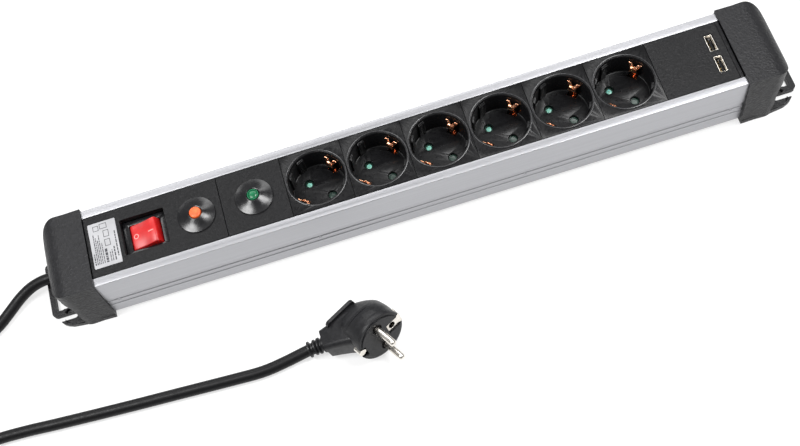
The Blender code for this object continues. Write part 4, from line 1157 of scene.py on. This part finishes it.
def plug_frame():
    """Matrix from the plug's own axes, with its pins along Z, to the scene."""
    turn = Matrix.Rotation(PLUG_HEADING, 4, "Z") @ Matrix.Rotation(math.pi / 2 - PLUG_TILT, 4, "X")
    return Matrix.Translation(PLUG_CENTRE) @ turn


def plug_cutters():
    """Cutters for the plug's face: pin seats, contact recesses and the flats round its rim."""
    tools = []
    for height in (PIN_OFFSET, -PIN_OFFSET):
        centre = (0.0, height, 0.0)
        tools.append(cylinder("bore", 2.7, -6.3, PLUG_CUT_TOP, "Z", centre, 32))
        tools.append(turned("dish", [(3.4, -0.5), (3.9, 1.0)], 40, centre=centre))
    tools.append(block("recess", (6.1, -4.5, -7.3), (22.0, 4.5, PLUG_CUT_TOP)))
    tools.append(block("recess", (-22.0, -4.5, -7.3), (-13.3, 4.5, PLUG_CUT_TOP)))
    for side in (-1, 1):
        tools.append(block("side_flat", (side * 17.3, -10.5, -14.6), (side * 24.0, 10.5, -2.4)))
        tools.append(block("top_flat", (-1.0, side * 17.1, -12.6), (9.0, side * 24.0, -4.6)))
    return tools


def plug_body(finishes):
    """Moulded plug body with a stepped face, flats in its rim, a neck and a rear plate."""
    rings = [plug_ring(-radius, radius, radius, depth, 1.0) for radius, depth in PLUG_FACE_STEPS]
    rings += [plug_ring(*row) for row in blended_sections(PLUG_SECTIONS, 5)]
    body = cut(loft("plug_shell", rings, finishes["plug_black"]), *plug_cutters())
    turn = Vector((-0.9, -0.1, -0.42)).to_track_quat("Z", "Y").to_matrix()
    neck = []
    for x, y, z, wide, high in PLUG_NECK:
        outline = rounded_rectangle(wide, high, min(wide, high) * 0.45, 8)
        neck.append([Vector((x, y, z)) + turn @ Vector((b, a, 0.0)) for a, b in outline])
    rear = slab("rear_plate", (12.4, 10.4), 3.0, 8, (-8.0, 0.6), -32.0, -29.4)
    step = [plug_ring(-18.0, 16.6, 16.0, 14.6, 0.84), plug_ring(-18.6, 16.2, 15.0, 17.2, 0.83)]
    join(body, loft("neck", neck), rear, loft("step", step))
    soften(body, 0.35, 3, 40)
    place(transformed(settle(body), plug_frame()), STRIP, "plug_black", "plug_body")


def plug_metal(finishes):
    """Two round pins with rounded ends, and the earth contacts in the rims of the plug's face."""
    nickel = finishes["nickel"]
    pin = [(PIN_RADIUS, -6.0), (PIN_RADIUS, 16.9)]
    for turn in (0.35, 0.7, 1.05, 1.4):
        pin.append((0.6 + 1.8 * math.cos(turn), 16.9 + 2.1 * math.sin(turn)))
    for number, height in enumerate((PIN_OFFSET, -PIN_OFFSET), start=1):
        made = turned(f"pin_{number}", pin, 40, nickel, centre=(0.0, height, 0.0))
        place(transformed(made, plug_frame()), STRIP, "nickel", f"plug_pin_{number}")
    plate = slab("contact_plate", (6.1, 4.1), 0.8, 4, (12.5, 0.0), *CONTACT_Z, nickel)
    notches = [cylinder("hole", 2.5, -9.0, PLUG_CUT_TOP, "Z", (10.4, 0.0, 0.0), 40)]
    for y in (-4.4, 4.4):
        notches.append(cylinder("notch", 1.1, -9.0, PLUG_CUT_TOP, "Z", (15.4, y, 0.0), 24))
    soften(cut(plate, *notches), 0.2, 2)
    drop = arc((-16.6, 0.0), 2.6, 60, 300, 18) + [(-13.7, -1.2), (-13.4, 0.0), (-13.7, 1.2)]
    tab = soften(prism("contact_tab", drop, "Z", *CONTACT_Z, nickel), 0.25, 2)
    for number, contact in enumerate((plate, tab), start=1):
        made = transformed(settle(contact), plug_frame())
        place(made, STRIP, "nickel", f"plug_earth_contact_{number}")


def relief(finish):
    """Bend relief behind the plug: a tapering sleeve with open ribs near the cord."""
    route = smooth_route([Vector(point) for point in RELIEF_ROUTE], 1.0)
    rings = []
    for index, centre in enumerate(route):
        part = index / (len(route) - 1)
        radius = 7.0 - 1.8 * part
        if 0.5 < part < 0.93 and (part - 0.5) / 0.43 * 3 % 1.0 > 0.5:
            radius -= 1.5
        elif part >= 0.86:
            radius = 5.75
        ahead = route[min(index + 1, len(route) - 1)] - route[max(index - 1, 0)]
        turn = ahead.to_track_quat("Z", "Y").to_matrix()
        rings.append([centre + turn @ Vector((x, y, 0.0)) for x, y in circle(radius, 40)])
    made = loft("bend_relief", rings, finish)
    place(made, STRIP, "plug_black", "plug_relief")


# ---- materials


def shader_of(finish):
    """Return a material's main shader node."""
    return finish.node_tree.nodes["Principled BSDF"]


def principled(name, colour, roughness, metallic=0.0, **sockets):
    """Make a Principled material; extra sockets are given by name with _ for each space."""
    made = bpy.data.materials.new(name)
    made.use_nodes = True
    shader = shader_of(made)
    shader.inputs["Base Color"].default_value = (*colour, 1.0)
    shader.inputs["Roughness"].default_value = roughness
    shader.inputs["Metallic"].default_value = metallic
    for key, value in sockets.items():
        shader.inputs[key.replace("_", " ")].default_value = value
    return made


def node(finish, kind, **settings):
    """Add a node to a material, with its inputs or properties set by name."""
    made = finish.node_tree.nodes.new(kind)
    for key, value in settings.items():
        if hasattr(made, key):
            setattr(made, key, value)
        else:
            made.inputs[key.replace("_", " ")].default_value = value
    return made


def noise(finish, scale, detail=3.0, stretch=(1.0, 1.0, 1.0)):
    """Add noise in the object's own coordinates; the scale is in features per metre."""
    links = finish.node_tree.links
    coordinates = node(finish, "ShaderNodeTexCoord")
    mapping = node(finish, "ShaderNodeMapping", Scale=stretch)
    texture = node(finish, "ShaderNodeTexNoise", Scale=scale, Detail=detail)
    links.new(coordinates.outputs["Object"], mapping.inputs["Vector"])
    links.new(mapping.outputs["Vector"], texture.inputs["Vector"])
    return texture.outputs["Fac"]


def bumpy(finish, height, distance, strength=1.0):
    """Bend the material's normal by a height field; the distance is in millimetres."""
    links = finish.node_tree.links
    shader = shader_of(finish)
    bump = node(finish, "ShaderNodeBump", Strength=strength, Distance=distance * MM)
    links.new(height, bump.inputs["Height"])
    if shader.inputs["Normal"].is_linked:
        links.new(shader.inputs["Normal"].links[0].from_socket, bump.inputs["Normal"])
    links.new(bump.outputs["Normal"], shader.inputs["Normal"])


def varied(finish, socket, value, low, high):
    """Drive a shader socket between two values, or two colours, by a field."""
    links = finish.node_tree.links
    shader = shader_of(finish)
    if isinstance(low, tuple):
        ramp = node(finish, "ShaderNodeValToRGB")
        ramp.color_ramp.elements[0].position = 0.3
        ramp.color_ramp.elements[1].position = 0.7
        ramp.color_ramp.elements[0].color = (*low, 1.0)
        ramp.color_ramp.elements[1].color = (*high, 1.0)
        links.new(value, ramp.inputs["Fac"])
        links.new(ramp.outputs["Color"], shader.inputs[socket])
        return
    ranged = node(finish, "ShaderNodeMapRange", From_Min=0.3, From_Max=0.7, To_Min=low, To_Max=high)
    links.new(value, ranged.inputs["Value"])
    links.new(ranged.outputs["Result"], shader.inputs[socket])


def textured_plastic(name, colour, roughness, grain, depth, lighter, **sockets):
    """Moulded plastic with a fine spark texture and slightly uneven tone."""
    made = principled(name, colour, roughness, **sockets)
    light = tuple(min(1.0, channel * lighter) for channel in colour)
    varied(made, "Base Color", noise(made, 500.0, 6.0), colour, light)
    varied(made, "Roughness", noise(made, 400.0, 2.0), roughness - 0.05, roughness + 0.08)
    bumpy(made, noise(made, grain, 2.0), depth)
    return made


def make_metals(finishes):
    """Drawn aluminium for the profile, and the four bare metals."""
    aluminium = principled(
        "anodised_aluminium", (0.4, 0.402, 0.42), 0.42, 1.0, Anisotropic=0.4, Anisotropic_Rotation=0.0
    )
    drawn = noise(aluminium, 900.0, 3.0, (0.006, 1.0, 1.0))
    varied(aluminium, "Roughness", drawn, 0.36, 0.48)
    bumpy(aluminium, drawn, 0.02)
    bumpy(aluminium, noise(aluminium, 3500.0, 1.0), 0.006)
    finishes["anodised_aluminium"] = aluminium
    for name, colour, dark, roughness in METALS:
        metal = principled(name, colour, roughness, 1.0)
        varied(metal, "Base Color", noise(metal, 180.0, 4.0), dark, colour)
        varied(metal, "Roughness", noise(metal, 700.0, 3.0), roughness - 0.06, roughness + 0.1)
        bumpy(metal, noise(metal, 1200.0, 3.0, (0.1, 1.0, 1.0)), 0.006)
        finishes[name] = metal


def make_glossy_and_label(finishes):
    """Glossy black plastic and the silver label."""
    gloss = principled("glossy_black", (0.006, 0.006, 0.007), 0.22)
    varied(gloss, "Roughness", noise(gloss, 300.0, 3.0), 0.18, 0.28)
    finishes["glossy_black"] = gloss
    label = principled("label_silver", (0.46, 0.46, 0.475), 0.4, 0.6)
    varied(label, "Roughness", noise(label, 2500.0, 2.0), 0.28, 0.42)
    varied(label, "Base Color", noise(label, 90.0), (0.42, 0.42, 0.435), (0.5, 0.5, 0.515))
    finishes["label_silver"] = label


def make_coloured_plastics(finishes):
    """The pale green painted highlight on the shutters, the rocker's red, the button's orange and the lamp's
    green.
    """
    # Pale mint green, used for the shutter's dome: painted highlight, much lighter than the shutter's dark
    # green
    painted_highlight_green = principled("shutter_green", (0.3, 0.68, 0.54), 0.35, Subsurface_Weight=0.2)
    varied(painted_highlight_green, "Base Color", noise(painted_highlight_green, 250.0), (0.16, 0.46, 0.35), (0.26, 0.58, 0.45))
    bumpy(painted_highlight_green, noise(painted_highlight_green, 1500.0), 0.02)
    finishes["shutter_green"] = painted_highlight_green
    red = principled(
        "rocker_red",
        (0.85, 0.02, 0.02),
        0.34,
        Transmission_Weight=0.15,
        IOR=1.42,
        Subsurface_Weight=0.3,
        Coat_Weight=0.15,
        Coat_Roughness=0.3,
    )
    varied(red, "Base Color", noise(red, 120.0), (0.5, 0.006, 0.008), (0.72, 0.02, 0.02))
    finishes["rocker_red"] = red
    orange = principled("button_orange", (0.8, 0.13, 0.03), 0.45, Subsurface_Weight=0.1)
    varied(orange, "Base Color", noise(orange, 300.0), (0.66, 0.08, 0.012), (0.88, 0.15, 0.035))
    bumpy(orange, noise(orange, 2500.0), 0.012)
    finishes["button_orange"] = orange
    green = principled(
        "lens_green", (0.004, 0.12, 0.05), 0.3, Transmission_Weight=0.2, IOR=1.4, Coat_Weight=0.2
    )
    varied(green, "Base Color", noise(green, 400.0), (0.003, 0.11, 0.04), (0.008, 0.2, 0.08))
    finishes["lens_green"] = green


def make_finishes():
    """Make every material of the object, by the record's slot name or the visual piece's own."""
    finishes = {}
    for slot, name, colour, roughness, grain, depth, lighter, refraction in PLASTICS:
        finishes[slot] = textured_plastic(name, colour, roughness, grain, depth, lighter, IOR=refraction)
    make_metals(finishes)
    make_glossy_and_label(finishes)
    make_coloured_plastics(finishes)
    return finishes


# ---- scene


def white_floor():
    """White floor that glows enough to show almost no shadow."""
    reach = FLOOR_REACH
    corners = [(-reach, -reach, 0), (reach, -reach, 0), (reach, reach, 0), (-reach, reach, 0)]
    floor = mesh_piece("floor", corners, [(0, 1, 2, 3)])
    pale = principled("floor_white", (0.35, 0.35, 0.35), 0.8, Specular_IOR_Level=0.1)
    shader_of(pale).inputs["Emission Color"].default_value = (1.0, 1.0, 1.0, 1.0)
    shader_of(pale).inputs["Emission Strength"].default_value = FLOOR_GLOW
    floor.data.materials.append(pale)


def softbox(name, spot, target, size, power):
    """Rectangular light at one place, aimed at another."""
    data = bpy.data.lights.new(name, "AREA")
    data.shape = "RECTANGLE"
    data.size = size[0] * MM
    data.size_y = size[1] * MM
    data.energy = power
    light = linked(name, data)
    light.location = Vector(spot) * MM
    aim = Vector(target) - Vector(spot)
    light.rotation_euler = aim.to_track_quat("-Z", "Y").to_euler()


def studio():
    """White floor, dim surroundings and three softboxes."""
    white_floor()
    world = bpy.data.worlds.new("studio")
    world.use_nodes = True
    background = world.node_tree.nodes["Background"]
    background.inputs["Color"].default_value = (1.0, 1.0, 1.0, 1.0)
    background.inputs["Strength"].default_value = SURROUNDINGS
    bpy.context.scene.world = world
    for light in SOFTBOXES:
        softbox(*light)
    bpy.context.scene.view_settings.view_transform = "Standard"
    bpy.context.scene.view_settings.look = "None"


def dress_nodes(frame, finishes):
    """Give each node of the model that stays in view, or inside, its own material."""
    slots = {entry["node"]: entry["material_slot"] for entry in frame["record"]["subparts"]}
    for name, item in frame["nodes"].items():
        for holder in item.material_slots:
            holder.material = finishes[slots[name]]


def main():
    """Build the looks round the frame."""
    clear_scene()
    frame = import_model()
    camera()
    studio()
    finishes = make_finishes()
    dress_nodes(frame, finishes)
    profile(finishes["anodised_aluminium"])
    covers(finishes)
    sockets(finishes)
    switch(finishes)
    button_and_lamp(finishes)
    label(finishes)
    charging_ports(finishes)
    end_caps(finishes["black_cap_plastic"])
    cap_screws(finishes["zinc"])
    gland(finishes["cord_black"])
    tie(finishes["glossy_black"])
    plug_body(finishes)
    plug_metal(finishes)
    relief(finishes["plug_black"])
    mains = cord(finishes["cord_black"])


main()
